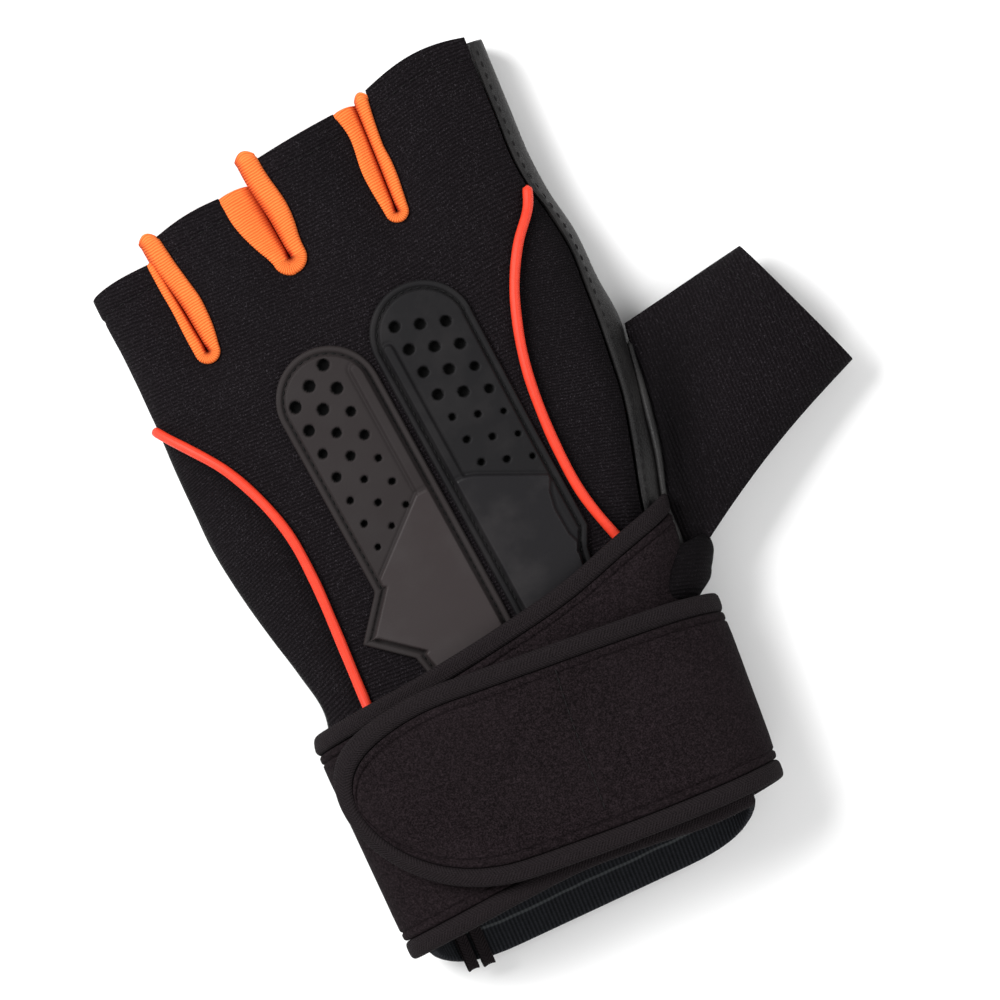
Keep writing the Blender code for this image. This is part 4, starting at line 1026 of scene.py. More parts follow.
@dataclass
class Wardrobe:
    """Every finish of the glove, made once."""

    knit: bpy.types.Material = field(default_factory=Knit().make)
    leather: bpy.types.Material = field(default_factory=Leather().make)
    stretch: bpy.types.Material = field(default_factory=Stretch().make)
    piping: bpy.types.Material = field(default_factory=Piping().make)
    warm_rubber: bpy.types.Material = field(
        default_factory=Rubber("warm_grey_rubber", (0.026, 0.0205, 0.0208)).make)
    cool_rubber: bpy.types.Material = field(
        default_factory=Rubber("cool_grey_rubber", (0.0075, 0.0069, 0.0080)).make)
    loop: bpy.types.Material = field(default_factory=LoopFabric().make)
    twill: bpy.types.Material = field(default_factory=Twill().make)
    elastic: bpy.types.Material = field(default_factory=Elastic().make)
    dark_thread: bpy.types.Material = field(
        default_factory=Thread("dark_thread", (0.0048, 0.0042, 0.0046)).make)
    pad_thread: bpy.types.Material = field(
        default_factory=Thread("pad_thread", (0.0045, 0.0045, 0.0045)).make)


# The hand


Edge = Callable[[np.ndarray], np.ndarray]  # gives the place of a panel's side at y


@dataclass
class Panels:
    """Where the hand's panels meet, as finely spaced edges on the bag."""

    round_rows: int = 8
    finger_rows: int = 52
    hand_rows: int = 84
    gusset_roll: float = 4.0
    knuckle_ease: float = 6.84
    round_share: float = 0.12  # share of a finger's outer side beside the gusset's round end
    lip_over: float = 0.15  # a lip reaches at least this far past the knit's edge

    def share_rows(self) -> np.ndarray:
        """Shares of a finger's outer side for its rows, closer where the gusset's round end is."""
        low = np.linspace(0.0, self.round_share, self.round_rows + 1)[:-1]
        return np.concatenate([low, np.linspace(self.round_share, 1.0, self.finger_rows)])

    def rolls(self, crease: Crease, side: int) -> np.ndarray:
        """The knit edge's distance from the crease."""
        table = np.array(crease.widths).T
        return smooth(self.shares, table[0], table[1 if side < 0 else 2]) * self.gusset_roll

    @property
    def shares(self) -> np.ndarray:
        """The shares of a crease at a finger's rows, above its round end."""
        return np.linspace(0.0, 1.0, self.finger_rows)

    def lips(self, crease: Crease, side: int) -> np.ndarray:
        """The distance of a gusset's outer edge from the crease, always a little past the knit's edge."""
        table = np.array(crease.lips).T
        wide = smooth(self.shares, table[0], table[1 if side < 0 else 2])
        return np.maximum(wide, self.rolls(crease, side) + self.lip_over)

    def gusset_edge(self, crease: Crease, side: int, wide: np.ndarray,
                    setback: float = 0.0) -> tuple[np.ndarray, np.ndarray]:
        """One edge beside a slit: a quarter circle round the crotch, then a line up to the hem.

        Args:
            crease: The slit.
            side: 1 on its thumb side and -1 on the other.
            wide: The edge's distance from the crease at its shares.
            setback: How far below the hem it stops.

        Returns:
            The edge's x and y.
        """
        finger = crease.fingers[0 if side > 0 else 1]
        crotch = crease.crotch[1] * BAG.length
        top = BAG.hem(finger, 0 if side > 0 else 1) - setback
        y = crotch + (top - crotch) * self.shares
        x = BAG.crease_x(crease, y) + side * wide
        radius = abs(wide[0])
        angle = np.linspace(math.radians(crease.slope), side * math.pi / 2, self.round_rows + 1)[:-1]
        low_x = BAG.crease_x(crease, crotch) + np.sin(angle) * radius
        return np.concatenate([low_x, x]), np.concatenate([crotch - np.cos(angle) * radius, y])

    def outer_edge(self, side: Side, setback: float = 0.0) -> np.ndarray:
        """The y of the rows along the outer side of the little or index finger."""
        low = KNUCKLES[side] * BAG.length
        finger = Finger.LITTLE if side is Side.LITTLE else Finger.INDEX
        top = BAG.hem(finger, 0 if side is Side.LITTLE else 1) - setback
        return low + (top - low) * self.share_rows()

    def finger_patch(self, finger: Finger, first: tuple, last: tuple,
                     columns: int) -> tuple[np.ndarray, np.ndarray, np.ndarray]:
        """A finger's panel between its two edges, each given as (y, place).

        Args:
            finger: The finger.
            first: Its edge on the first side.
            last: Its edge on the last side.
            columns: The number of columns.

        Returns:
            The y, the place and the distance below the hem of each point.
        """
        share = np.linspace(0.0, 1.0, columns + 1)
        y, place = (between_edges(first[axis], last[axis], share) for axis in (0, 1))
        upper = np.linspace(0.0, 1.0, len(first[0]))[:, None] ** 2
        y = y + finger.value[2] * BAG.length * np.sin(math.pi * share) * upper
        return y, place, y[-1] - y

    def finger_patches(self, fingers: list[Finger], edges: list[tuple], columns: int) -> list[tuple]:
        """The fingers' panels between their pairs of edges, in order."""
        pairs = zip(fingers, edges[::2], edges[1::2])
        return [self.finger_patch(finger, first, last, columns) for finger, first, last in pairs]

    def hand_patch(self, fingers: list[tuple], rows: np.ndarray, first_place: Edge,
                   last_place: Edge) -> tuple[np.ndarray, np.ndarray]:
        """The panel from the cuff seam up to the fingers' lower rows, column by column.

        Args:
            fingers: The fingers' patches, in order.
            rows: Shares of the way up for the rows.
            first_place: The place of the panel's first side at y.
            last_place: The place of its last side at y.

        Returns:
            The y and the place of each point.
        """
        top_y, top_place = (
            np.concatenate([fingers[0][axis][0]] + [finger[axis][0][1:] for finger in fingers[1:]])
            for axis in (0, 1)
        )
        first, last = first_place(top_y), last_place(top_y)
        share = (top_place - first) / (last - first)
        y = rows[:, None] * top_y
        first = first_place(y)
        return y, first + share * (last_place(y) - first)

    def beside_knuckle(self, side: Side, piping: np.ndarray, seam: np.ndarray, y: np.ndarray) -> np.ndarray:
        """The knit back's edge: the piping below the knuckle, and the side seam above it."""
        knuckle = KNUCKLES[side] * BAG.length
        return piping + (seam - piping) * ease(y, knuckle - self.knuckle_ease, knuckle)

    def thumb_side(self, y: np.ndarray) -> np.ndarray:
        """The place of the knit back's edge on the thumb side."""
        gap = SEAM_GAP / BAG.back[2]
        piping = BAG.seam(PIPINGS[Side.INDEX], y) + gap
        return self.beside_knuckle(Side.INDEX, piping, BAG.seam(STRIP_SEAM, y) + gap, y)

    def little_side(self, y: np.ndarray) -> np.ndarray:
        """The place of the knit back's edge on the little finger's side."""
        piping = BAG.seam(PIPINGS[Side.LITTLE], y) - SEAM_GAP / BAG.back[2]
        return self.beside_knuckle(Side.LITTLE, piping, np.full(np.shape(y), BAG.half - SIDE_GAP), y)


def knit_relief(x: np.ndarray, y: np.ndarray) -> np.ndarray:
    """The knit's soft unevenness: slow waves across and along it, about a quarter of a millimetre high."""
    slow = np.sin(x / 9.0 + 1.3 * np.sin(y / 17.0)) * np.sin(y / 13.0 + 0.8 * np.sin(x / 21.0))
    return 0.20 * slow + 0.12 * np.sin(x / 4.1 + y / 5.3) * np.sin(y / 6.7 - x / 11.0)


def hem_relief(below: np.ndarray, turn: float = HEM) -> np.ndarray:
    """A turned hem: the cloth is doubled up to its seam, which lies in a small groove."""
    doubled = 0.22 * (1 - ease(below, turn - 0.4, turn + 0.5))
    return doubled - 0.30 * bell(below - turn, 0.55)


@dataclass
class KnitBack:
    """The knit back of the hand with its finger stubs, and the two side panels outside the pipings."""

    wardrobe: Wardrobe
    stitching: Stitching
    panels: Panels
    wall: float = 1.2
    columns: int = 22
    side_columns: int = 22
    side_rows: int = 70
    slant: float = 0.34  # how far the side panels' ribs run down for each millimetre to the thumb side
    tip_below: float = 2.0
    tip_width: float = 0.6
    tip_length: float = 4.0
    hem_start: tuple[float, float] = (0.55, 0.62)  # shares of the hand where the hems' relief fades in
    thread_sink: float = 0.12

    def build(self) -> None:
        """Makes the back and the side panels."""
        edges = [self._outer(Side.INDEX)]
        for crease in CREASES:
            for side in (1, -1):
                x, y = self.panels.gusset_edge(crease, side, self.panels.rolls(crease, side))
                edges.append((y, BAG.back_place(x, y)))
        edges.append(self._outer(Side.LITTLE))
        fingers = self.panels.finger_patches(list(Finger), edges, self.columns)
        rows = np.linspace(0.0, 1.0, self.panels.hand_rows + 1)
        hand = self.panels.hand_patch(fingers, rows, self.panels.thumb_side, self.panels.little_side)
        piece = Piece("back_knit")
        piece.grid(*self._cloth(*hand))
        low, high = (share * BAG.length for share in self.hem_start)
        for y, place, below in fingers:
            piece.grid(*self._cloth(y, place, hem_relief(below) * ease(y, low, high)))
            self._hem_seam(y, place, below)
        made = piece.build(self.wardrobe.knit, "black_knit", ("back_panel",))
        thicken(made, self.wall)
        for side in Side:
            self._side_panel(side)

    def _outer(self, side: Side) -> tuple[np.ndarray, np.ndarray]:
        """The outer edge of the little or index finger as (y, place)."""
        y = self.panels.outer_edge(side)
        return y, (self.panels.little_side if side is Side.LITTLE else self.panels.thumb_side)(y)

    def _cloth(self, y: np.ndarray, place: np.ndarray, out: np.ndarray = 0.0) -> tuple:
        """The points and weave of the knit at (y, place), with its unevenness and moved outwards."""
        x = BAG.skin(y, place)[..., 0]
        fan = 7.0 * bell(x - 46.0, 26.0) * ease(y, 60.0, 110.0)
        points = BAG.skin(y, place, out + knit_relief(x, y))
        return points, pair(-place * BAG.back[2], y - fan + 0.05 * x)

    def _hem_seam(self, y: np.ndarray, place: np.ndarray, below: np.ndarray) -> None:
        """Sews a finger's hem in a row of stitches a little below its edge."""
        y, place = at_depth(below, HEM, y, place)
        path = BAG.skin(y, place, knit_relief(BAG.skin(y, place)[:, 0], y) - self.thread_sink)
        self.stitching.row(path[1:-1], BAG.up(y, place)[1:-1])

    def _side_panel(self, side: Side) -> None:
        """The side panel between a piping and the side seam or the leather strip."""
        y = np.linspace(0.0, 1.0, self.side_rows + 1) * KNUCKLES[side] * BAG.length
        gap, tip = SEAM_GAP / BAG.back[2], self.tip_width / BAG.back[2]
        narrow = ease(y, y[-1] - self.tip_length, y[-1])
        if side is Side.LITTLE:
            first = BAG.seam(PIPINGS[side], y) + gap
            last = np.full(len(y), BAG.half - SIDE_GAP)
            first = first + (last - tip - first) * narrow
        else:
            first = BAG.seam(STRIP_SEAM, y) + gap
            last = BAG.seam(PIPINGS[side], y) - gap
            last = last + (first + tip - last) * narrow
        y = (y - self.tip_below * narrow)[:, None]
        share = np.linspace(0.0, 1.0, self.side_columns + 1)
        place = between_edges(first, last, share)
        x = BAG.skin(y, place)[..., 0]
        seam = np.minimum(share, 1 - share) * (last - first)[:, None] * BAG.back[2]
        puff = 0.35 * ease(seam, 0.0, 4.0) + 0.10 * np.sin(y / 3.1) * bell(seam - 2.0, 2.5)
        points = BAG.skin(y, place, knit_relief(x, y) * 0.7 + puff - 0.3)
        rib = y + side.value * self.slant * x + 0.004 * (y - 30) ** 2
        piece = Piece("side_knit_" + side.label)
        # painted shade: the knit is darker near its seams
        piece.grid(points, pair(-place * BAG.back[2], rib), 0.45 * bell(seam, 4.0))
        made = piece.build(self.wardrobe.knit, "black_knit", ("side_panel_" + side.label,))
        thicken(made, self.wall)


@dataclass
class LeatherPalm:
    """The leather palm, with the strip that it wraps round the index finger's side and the thumb hole."""

    wardrobe: Wardrobe
    stitching: Stitching
    panels: Panels
    wall: float = 1.15
    columns: int = 16
    strip_columns: int = 10
    hem_setback: float = 0.015
    hole_drop: float = 7.0
    hole_rise: float = 6.0
    hole_end: float = 0.24
    slit: float = 0.35  # half the slit between two fingers
    stitch_rows: int = 6  # rows at the wrist that are left without stitches
    stitch_inset: float = 1.5
    stitch_lift: float = 0.16
    stitch_pitch: float = 2.8

    def hole_share(self, y: np.ndarray) -> np.ndarray:
        """How far round the thumb hole's almond shape y is."""
        share = np.clip(y / (THUMB_HOLE_TOP * BAG.length), 0.0, 1.0)
        return self.hole_end + (1 - self.hole_end) * share

    def hole_palm(self, y: np.ndarray) -> np.ndarray:
        """The place of the thumb hole's edge on the palm: half a sine below the side seam."""
        drop = self.hole_drop * np.sin(math.pi * self.hole_share(y))
        return BAG.places - np.maximum(drop, 0.0) / BAG.palm[2]

    def hole_back(self, y: np.ndarray) -> np.ndarray:
        """The place of the thumb hole's edge on the back: half a squared sine above the side seam."""
        return BAG.places + self.hole_rise * np.sin(math.pi * self.hole_share(y)) ** 2 / BAG.back[2]

    def build(self) -> None:
        """Makes the palm with its strip."""
        setback = self.hem_setback * BAG.length
        seam = BAG.half + SIDE_GAP
        little_y = self.panels.outer_edge(Side.LITTLE, setback)
        edges = [(little_y, np.full(len(little_y), seam))]
        for crease in CREASES[::-1]:
            for side in (-1, 1):
                slit = np.full(self.panels.finger_rows, self.slit)
                x, y = self.panels.gusset_edge(crease, side, slit, setback)
                edges.append((y, BAG.palm_place(x, y)))
        index_y = self.panels.outer_edge(Side.INDEX, setback)
        edges.append((index_y, self.hole_palm(index_y)))
        fingers = self.panels.finger_patches(list(Finger)[::-1], edges, self.columns)
        rows = np.linspace(0.0, 1.0, self.panels.hand_rows + 1)
        hand = self.panels.hand_patch(fingers, rows, lambda y: np.full(np.shape(y), seam), self.hole_palm)
        piece = Piece("palm_leather")
        for y, place in (hand, *(finger[:2] for finger in fingers)):
            piece.grid(BAG.skin(y, place), pair(place * BAG.palm[2], y))
        y = np.concatenate([rows[:-1] * index_y[0], index_y])
        last = BAG.places + BAG.seam(STRIP_SEAM, y) - SEAM_GAP / BAG.back[2]
        self._strip(piece, y[:, None], last)
        made = piece.build(self.wardrobe.leather, "black_leather", ("palm_panel",))
        thicken(made, self.wall, round_off=0.35)
        y, place = y[self.stitch_rows:], last[self.stitch_rows:] - self.stitch_inset / BAG.back[2]
        path = BAG.skin(y, place, self.stitch_lift)
        self.stitching.row(path, BAG.up(y, place), self.stitch_pitch)

    def _strip(self, piece: Piece, y: np.ndarray, last: np.ndarray) -> None:
        """Adds the strip from the thumb hole's back edge to the knit, with its rolled edge and a dent.

        Args:
            piece: The palm.
            y: The strip's rows.
            last: The place of its edge by the knit, at each row.
        """
        first = self.hole_back(y[:, 0])
        share = np.linspace(0.0, 1.0, self.strip_columns + 1)
        place = between_edges(first, last, share)
        seam = (last - first)[:, None] * (1 - share) * BAG.back[2]
        roll = 0.28 * bell(seam - 0.9, 0.8) * ease(y, 4.0, 12.0)
        dent = -0.35 * bell(y - 96.0, 5.0) * ease(share, 0.0, 0.5)
        dent = dent + 0.2 * np.sin(y / 7.0) * share * (1 - share)
        points = BAG.skin(y, place, roll + dent * ease(share, 0.0, 0.3))
        piece.grid(points, pair(place * BAG.back[2], y))


@dataclass
class Gussets:
    """The three orange stretch gussets: rolled lips on the back, and a wall on each side of the crease."""

    wardrobe: Wardrobe
    panels: Panels
    wall: float = 0.8
    wall_gap: float = 0.12
    rise: float = 2.6
    flat_rise: float = 1.5
    crotch_rise: float = 1.8
    roll_columns: int = 15
    wall_columns: int = 6
    palm_wall: float = 1.2
    lift: float = 0.2  # how far the cloth stays above the knit and the palm
    mouth: float = 0.08  # half the gap between the lips
    end_length: float = 8.0
    crotch_length: float = 9.0
    wall_depth: float = 12.0

    def build(self) -> None:
        """Makes the gussets."""
        for crease in CREASES:
            self._gusset(crease)

    def _arm(self, crease: Crease, side: int) -> tuple[np.ndarray, ...]:
        """The lip on one side of a slit, from the crotch up to its end.

        Args:
            crease: The slit.
            side: 1 on its thumb side and -1 on the other.

        Returns:
            Its outer and inner edges as (x, y), and how near its end and how high each row is.
        """
        shares = self.panels.shares
        lean = crease.lean * ease(shares, 0.35, 0.85) if side > 0 else 0.0 * shares
        outer = np.array(self.panels.gusset_edge(crease, side, self.panels.lips(crease, side)))
        inner = np.array(self.panels.gusset_edge(crease, side, self.mouth - lean))
        reach = (crease.left_end if side < 0 else crease.right_end) * self.panels.gusset_roll
        top = ease(outer[1], outer[1][-1] - self.end_length, outer[1][-1])
        outer[1] += reach * top
        inner[1] += reach * top
        high = self.rise if side > 0 else self.flat_rise
        crotch = 1 - ease(outer[1], outer[1][0], outer[1][0] + self.crotch_length)
        return outer, inner, top, high + (self.crotch_rise - high) * crotch

    def _gusset(self, crease: Crease) -> None:
        """One gusset.

        Its rows follow the lips' outer edge from the hem down round the crotch and up again. Its columns
        cross the lip, whose height is nearly half an ellipse's, and then go down the crease's wall to the
        palm. The right lip leans over the left one towards its end.
        """
        left, right = (self._arm(crease, side) for side in (-1, 1))
        outer, inner, tip, high = (
            np.concatenate([one[..., :0:-1], other], axis=-1) for one, other in zip(left, right)
        )
        tip, high = tip[:, None], high[:, None]
        knit = BAG.skin(outer[1], BAG.back_place(*outer))[:, 2:] + knit_relief(*outer)[:, None] + self.lift
        crest = BAG.skin(inner[1], BAG.back_place(*inner))[:, 2:]
        floor = BAG.skin(inner[1], BAG.palm_place(*inner))[:, 2:] + self.palm_wall + self.lift
        angle = np.linspace(0.0, math.pi, self.roll_columns + 1)
        across = (1 - np.cos(angle)) / 2
        x, y = (between_edges(outer[axis], inner[axis], across) for axis in (0, 1))
        wide = np.hypot(*(outer - inner))[:, None]
        along = path_length(outer.T)[:, None]
        fill = np.sin(angle) ** 0.85 * (1 - 0.25 * across)
        end = 1 - 0.7 * ease(tip, 0.88, 1.0)
        z = knit * (1 - across) + crest * across - 0.15 + fill * np.minimum(high, 0.28 * wide + 1.0) * end
        z = z - 0.7 * ease(across, 0.80, 1.0)
        z = z + 0.10 * np.sin(along / 2.9) * np.sin(angle) ** 2
        corner = np.where(along < 20.0, 0.5, 1.6)
        y = y - corner * ease(tip, 0.82, 1.0) * (2 * across - 1) ** 2
        down = np.linspace(0.0, 1.0, self.wall_columns + 1)[1:]
        crease_x = BAG.crease_x(crease, y[:, -1:])
        away = np.sign(x[:, :1] - crease_x) * self.wall_gap
        wall_x = x[:, -1:] + (crease_x + away - x[:, -1:]) * ease(down, 0.0, 0.5)
        wall_z = z[:, -1:] + (floor - z[:, -1:]) * down
        points = np.concatenate([
            np.stack([x, y, z], axis=-1),
            np.stack([wall_x, y[:, -1:] + 0 * down, wall_z], axis=-1),
        ], axis=1)
        measure = np.concatenate([across * wide, wide + down * self.wall_depth], axis=1)
        # painted shade: darker towards the crease and down its walls, and darkest at the crotch
        shade = np.concatenate([across**2.6 + 0 * wide, 1.0 + 0.2 * down + 0 * wide], axis=1)
        crotch_x, crotch_y = inner[0, len(left[2]) - 1], inner[1].min()
        pit = bell(np.hypot(points[..., 0] - crotch_x, points[..., 1] - crotch_y - 0.6), 0.9)
        piece = Piece(crease.name + "_cloth")
        piece.grid(points, pair(measure, along + 0.12 * measure), shade + 0.6 * pit)
        made = piece.build(self.wardrobe.stretch, "orange_stretch", (crease.name,))
        thicken(made, self.wall, round_off=0.25)


@dataclass
class ThumbStall:
    """The open knit thumb with its turned hem, and the leather welt along its seam."""

    wardrobe: Wardrobe
    stitching: Stitching
    palm: LeatherPalm
    length: float = 48.0
    angle: float = 20.0
    mouth_width: float = 37.0
    mouth_height: float = 17.0
    mouth_offset: float = 1.0
    swell: float = 2.4
    swell_back: float = 1.9
    first_turn: float = 0.15
    wall: float = 1.2
    hole_rows: int = 44
    rows: int = 56
    lean: float = 20.4
    hem: float = 5.6
    weave_slant: float = 22.0
    gore: tuple[tuple[float, float], ...] = ((-9.0, 1.6), (-5.0, 3.4), (-2.3, 7.3), (2.9, 8.2), (8.0, 6.0))
    welt_lift: float = 1.25
    welt_radius: float = 0.95

    def hole_edge(self, share: np.ndarray, out: np.ndarray | float) -> tuple[np.ndarray, np.ndarray]:
        """The thumb hole's edge on the palm and on the back at shares of its length."""
        y = np.asarray(share) * THUMB_HOLE_TOP * BAG.length
        return BAG.skin(y, self.palm.hole_palm(y), out), BAG.skin(y, self.palm.hole_back(y), out)

    def build(self) -> None:
        """Makes the thumb, the knit below it and its welt."""
        turn = math.radians(self.angle)
        along = np.array([math.cos(turn), math.sin(turn), 0.0])
        across = np.array([-math.sin(turn), math.cos(turn), 0.0])
        hole = np.linspace(0.0, 1.0, self.hole_rows + 1)
        palm_edge, back_edge = self.hole_edge(hole, 0.55 + self.wall * (1 - hole) ** 6)
        base = np.concatenate([palm_edge, back_edge[-2::-1], palm_edge[:1]])
        around = np.concatenate([
            math.pi * hole, math.pi + (math.pi - self.first_turn) * hole[1:], [2 * math.pi],
        ])
        ends = np.cos(around)
        sides = signed_power(np.sin(around), 0.8)
        middle = (palm_edge[0] + palm_edge[-1]) / 2 + along * self.length + across * self.mouth_offset
        middle[2] = self.mouth_height / 2
        mouth = middle - across * ends[:, None] * self.mouth_width / 2
        mouth[:, 2] -= sides * self.mouth_height / 2
        share = np.linspace(0.0, 1.0, self.rows + 1)[:, None, None]
        swell = np.sin(math.pi * share)
        points = base * (1 - share) + mouth * share
        points = points - swell * self.swell * UP * sides[:, None]
        points = points + swell * self.swell_back * across * np.maximum(ends, 0.0)[:, None]
        size = np.linalg.norm(mouth - base, axis=1)
        below = (1 - share[..., 0]) * size
        top = np.clip(-sides, 0.0, 1.0)
        from_base = share[..., 0] * size
        fold = -2.3 * bell(from_base - 7.5 - 2.0 * ends, 3.2) * ease(ends, -0.98, -0.1)
        fold = fold + 0.45 * bell(from_base - 13.0 - 3.0 * ends, 3.5)
        ripple = 0.25 * np.sin(from_base / 5.3 + 2.1 * ends) * np.sin(around * 2.0 + 0.6)
        inner = hem_relief(below, self.hem)
        points[..., 2] += top * (fold + ripple + inner)
        points[..., 2] -= np.clip(sides, 0.0, 1.0) * inner * 0.5
        points[..., 2] = np.maximum(points[..., 2], LOWEST)
        flat = (points - base[0]) @ np.stack([across, along], axis=1)
        slant = math.radians(self.weave_slant)
        weave = pair(
            flat[..., 0] * math.cos(slant) + flat[..., 1] * math.sin(slant),
            flat[..., 1] * math.cos(slant) - flat[..., 0] * math.sin(slant),
        )
        piece = Piece("thumb_knit")
        # painted shade: the top of the thumb is darker near its base, where it folds
        painted_fold_shade = 0.75 * top * (1 - ease(from_base, 4.0, 22.0))
        piece.grid(points[:, ::-1], weave[:, ::-1], painted_fold_shade[:, ::-1])
        made = piece.build(self.wardrobe.knit, "black_knit", ("thumb_stall",))
        thicken(made, self.wall)
        upper = top > 0.25
        path = at_depth(below, self.hem, points)[0][upper]
        up = UP + 0.35 * across * -ends[upper][:, None]
        up /= np.linalg.norm(up, axis=1)[:, None]
        self.stitching.row(path + up * 0.1, up)
        self._gore()
        self._welt()

    def _gore(self) -> None:
        """The knit below the thumb, which bulges out of the wrist's side above the strap's outer turn."""
        at, bulge = np.array(self.gore).T
        y = np.linspace(at[0], at[-1], 36)[:, None]
        share = np.linspace(-1.0, 1.0, 41)
        place = BAG.places - 2.0 + 15.0 * share
        round_off = np.cos(math.pi / 2 * share) ** 1.2
        points = BAG.skin(y, place, 0.4 + smooth(y, at, bulge) * round_off + 0.15 * np.sin(y / 1.9))
        points[..., 2] = np.maximum(points[..., 2], LOWEST)
        piece = Piece("thumb_gore")
        # painted shade: the gore's knit is darkened all over
        piece.grid(points, pair(place * BAG.back[2] + 0.4 * y, y - 0.4 * place * BAG.back[2]), 0.6)
        made = piece.build(self.wardrobe.knit, "black_knit")
        thicken(made, self.wall)

    def _welt(self) -> None:
        """The leather welt: a soft cord that lies along the seam on the back of the hand."""
        edge = self.hole_edge(np.linspace(-0.14, 0.93, 70), 0.0)[1]
        lean = math.radians(self.lean)
        path = edge + self.welt_lift * np.array([math.sin(lean), 0.0, math.cos(lean)])
        length = path_length(path)
        radius = round_ends(length, self.welt_radius) * (0.85 + 0.15 * np.sin(length / 6.0))
        piece = Piece("thumb_seam_welt")
        piece.grid(tube(path, UP, radius, 12)[:, ::-1], np.zeros(2))
        piece.cap_ends(12)
        piece.build(self.wardrobe.leather, "black_leather", ("thumb_welt",), turn_out=True)


@dataclass
class PipingCords:
    """The two red-orange pipings on the seams of the back."""

    wardrobe: Wardrobe
    diameter: float = 2.35
    clearance: float = 0.05
    step: float = 0.8
    sides: int = 14

    def build(self) -> None:
        """Makes both pipings: round cords with closed ends, along the seams."""
        radius = self.diameter / 2
        around = np.linspace(0.0, math.pi * self.diameter, self.sides + 1)
        for side, route in PIPINGS.items():
            ends = sorted(route)
            y = np.linspace(ends[0][0], ends[-1][0], 200) * BAG.length
            path = evenly(BAG.skin(y, BAG.seam(route, y), radius + self.clearance), self.step)
            length = path_length(path)
            thick = round_ends(length, radius) * (1 + 0.02 * np.sin(length / 2.3))
            points = tube(path, np.array([0.05 * side.value, 0.0, 1.0]), thick, self.sides)
            piece = Piece("piping_cord_" + side.label)
            piece.grid(points[:, ::-1], pair(length[:, None], around)[:, ::-1])
            piece.cap_ends(self.sides)
            name = "piping_" + side.label
            piece.build(self.wardrobe.piping, "red_orange_cord", (name,), turn_out=True)


# The pads


@dataclass(frozen=True)
class PadShape:
    """One moulded pad: its outline, the start of its raised half and its holes.

    Lengths are in pad widths where nothing else is said.
    """

    side: Side
    top: float
    edges: tuple[tuple[float, float], ...]  # down, width
    ridge: tuple[tuple[float, float], ...]  # across, down, in millimetres
    border: tuple[tuple[float, float], ...]  # down, across of the raised half's outer border, in millimetres
    rib: tuple[float, float, float]  # inner border, outer border and start, in millimetres
    row_step: tuple[float, float]
    hole_step: tuple[float, float]
    first_hole: tuple[float, float]
    holes: tuple[tuple[int, int, tuple[float, ...]], ...]  # row, first place, sizes


PADS = (
    PadShape(
        Side.LITTLE, 0.630,
        ((0.00, 1.00), (0.72, 0.99), (0.84, 1.32), (0.95, 0.95), (1.00, 0.92)),
        ((5.6, 40.8), (22.6, 54.4), (36.0, 65.0)),
        ((40.0, 60.0), (90.0, 60.0)),
        (2.3, 5.4, 7.6),
        (-0.008, 0.249), (-0.214, 0.139), (0.397, 0.190),
        (
            (0, 0, (1.0,)), (1, -1, (1.0, 1.0)), (2, -2, (1.0, 1.0, 0.82)), (3, -2, (0.95, 0.82, 0.82)),
            (4, -2, (0.80, 0.80, 0.60)), (5, -2, (0.80, 0.60, 0.60)), (6, -2, (0.60, 0.60, 0.52)),
            (7, -2, (0.60, 0.52)), (8, -2, (0.52,)),
        ),
    ),
    PadShape(
        Side.INDEX, 0.652,
        ((0.00, 1.00), (0.60, 0.98), (0.90, 0.98), (0.96, 0.88), (1.00, 0.86)),
        ((4.9, 45.6), (7.0, 46.3), (22.3, 54.6), (30.0, 58.0)),
        ((50.0, 22.6), (54.5, 22.1), (58.0, 20.2), (62.0, 19.4), (68.5, 19.5), (74.5, 21.4), (82.0, 24.0)),
        (2.2, 4.9, 10.5),
        (0.017, 0.246), (0.219, 0.089), (0.294, 0.318),
        (
            (0, 0, (0.93, 0.93, 0.93)), (1, 0, (0.93, 0.93, 0.93)), (2, 0, (0.93, 0.93, 0.78)),
            (3, 0, (0.93, 0.93, 0.78)), (4, 0, (0.60, 0.60, 0.50)), (5, 0, (0.60, 0.60, 0.50)),
            (6, 0, (0.60, 0.60, 0.50)),
        ),
    ),
)


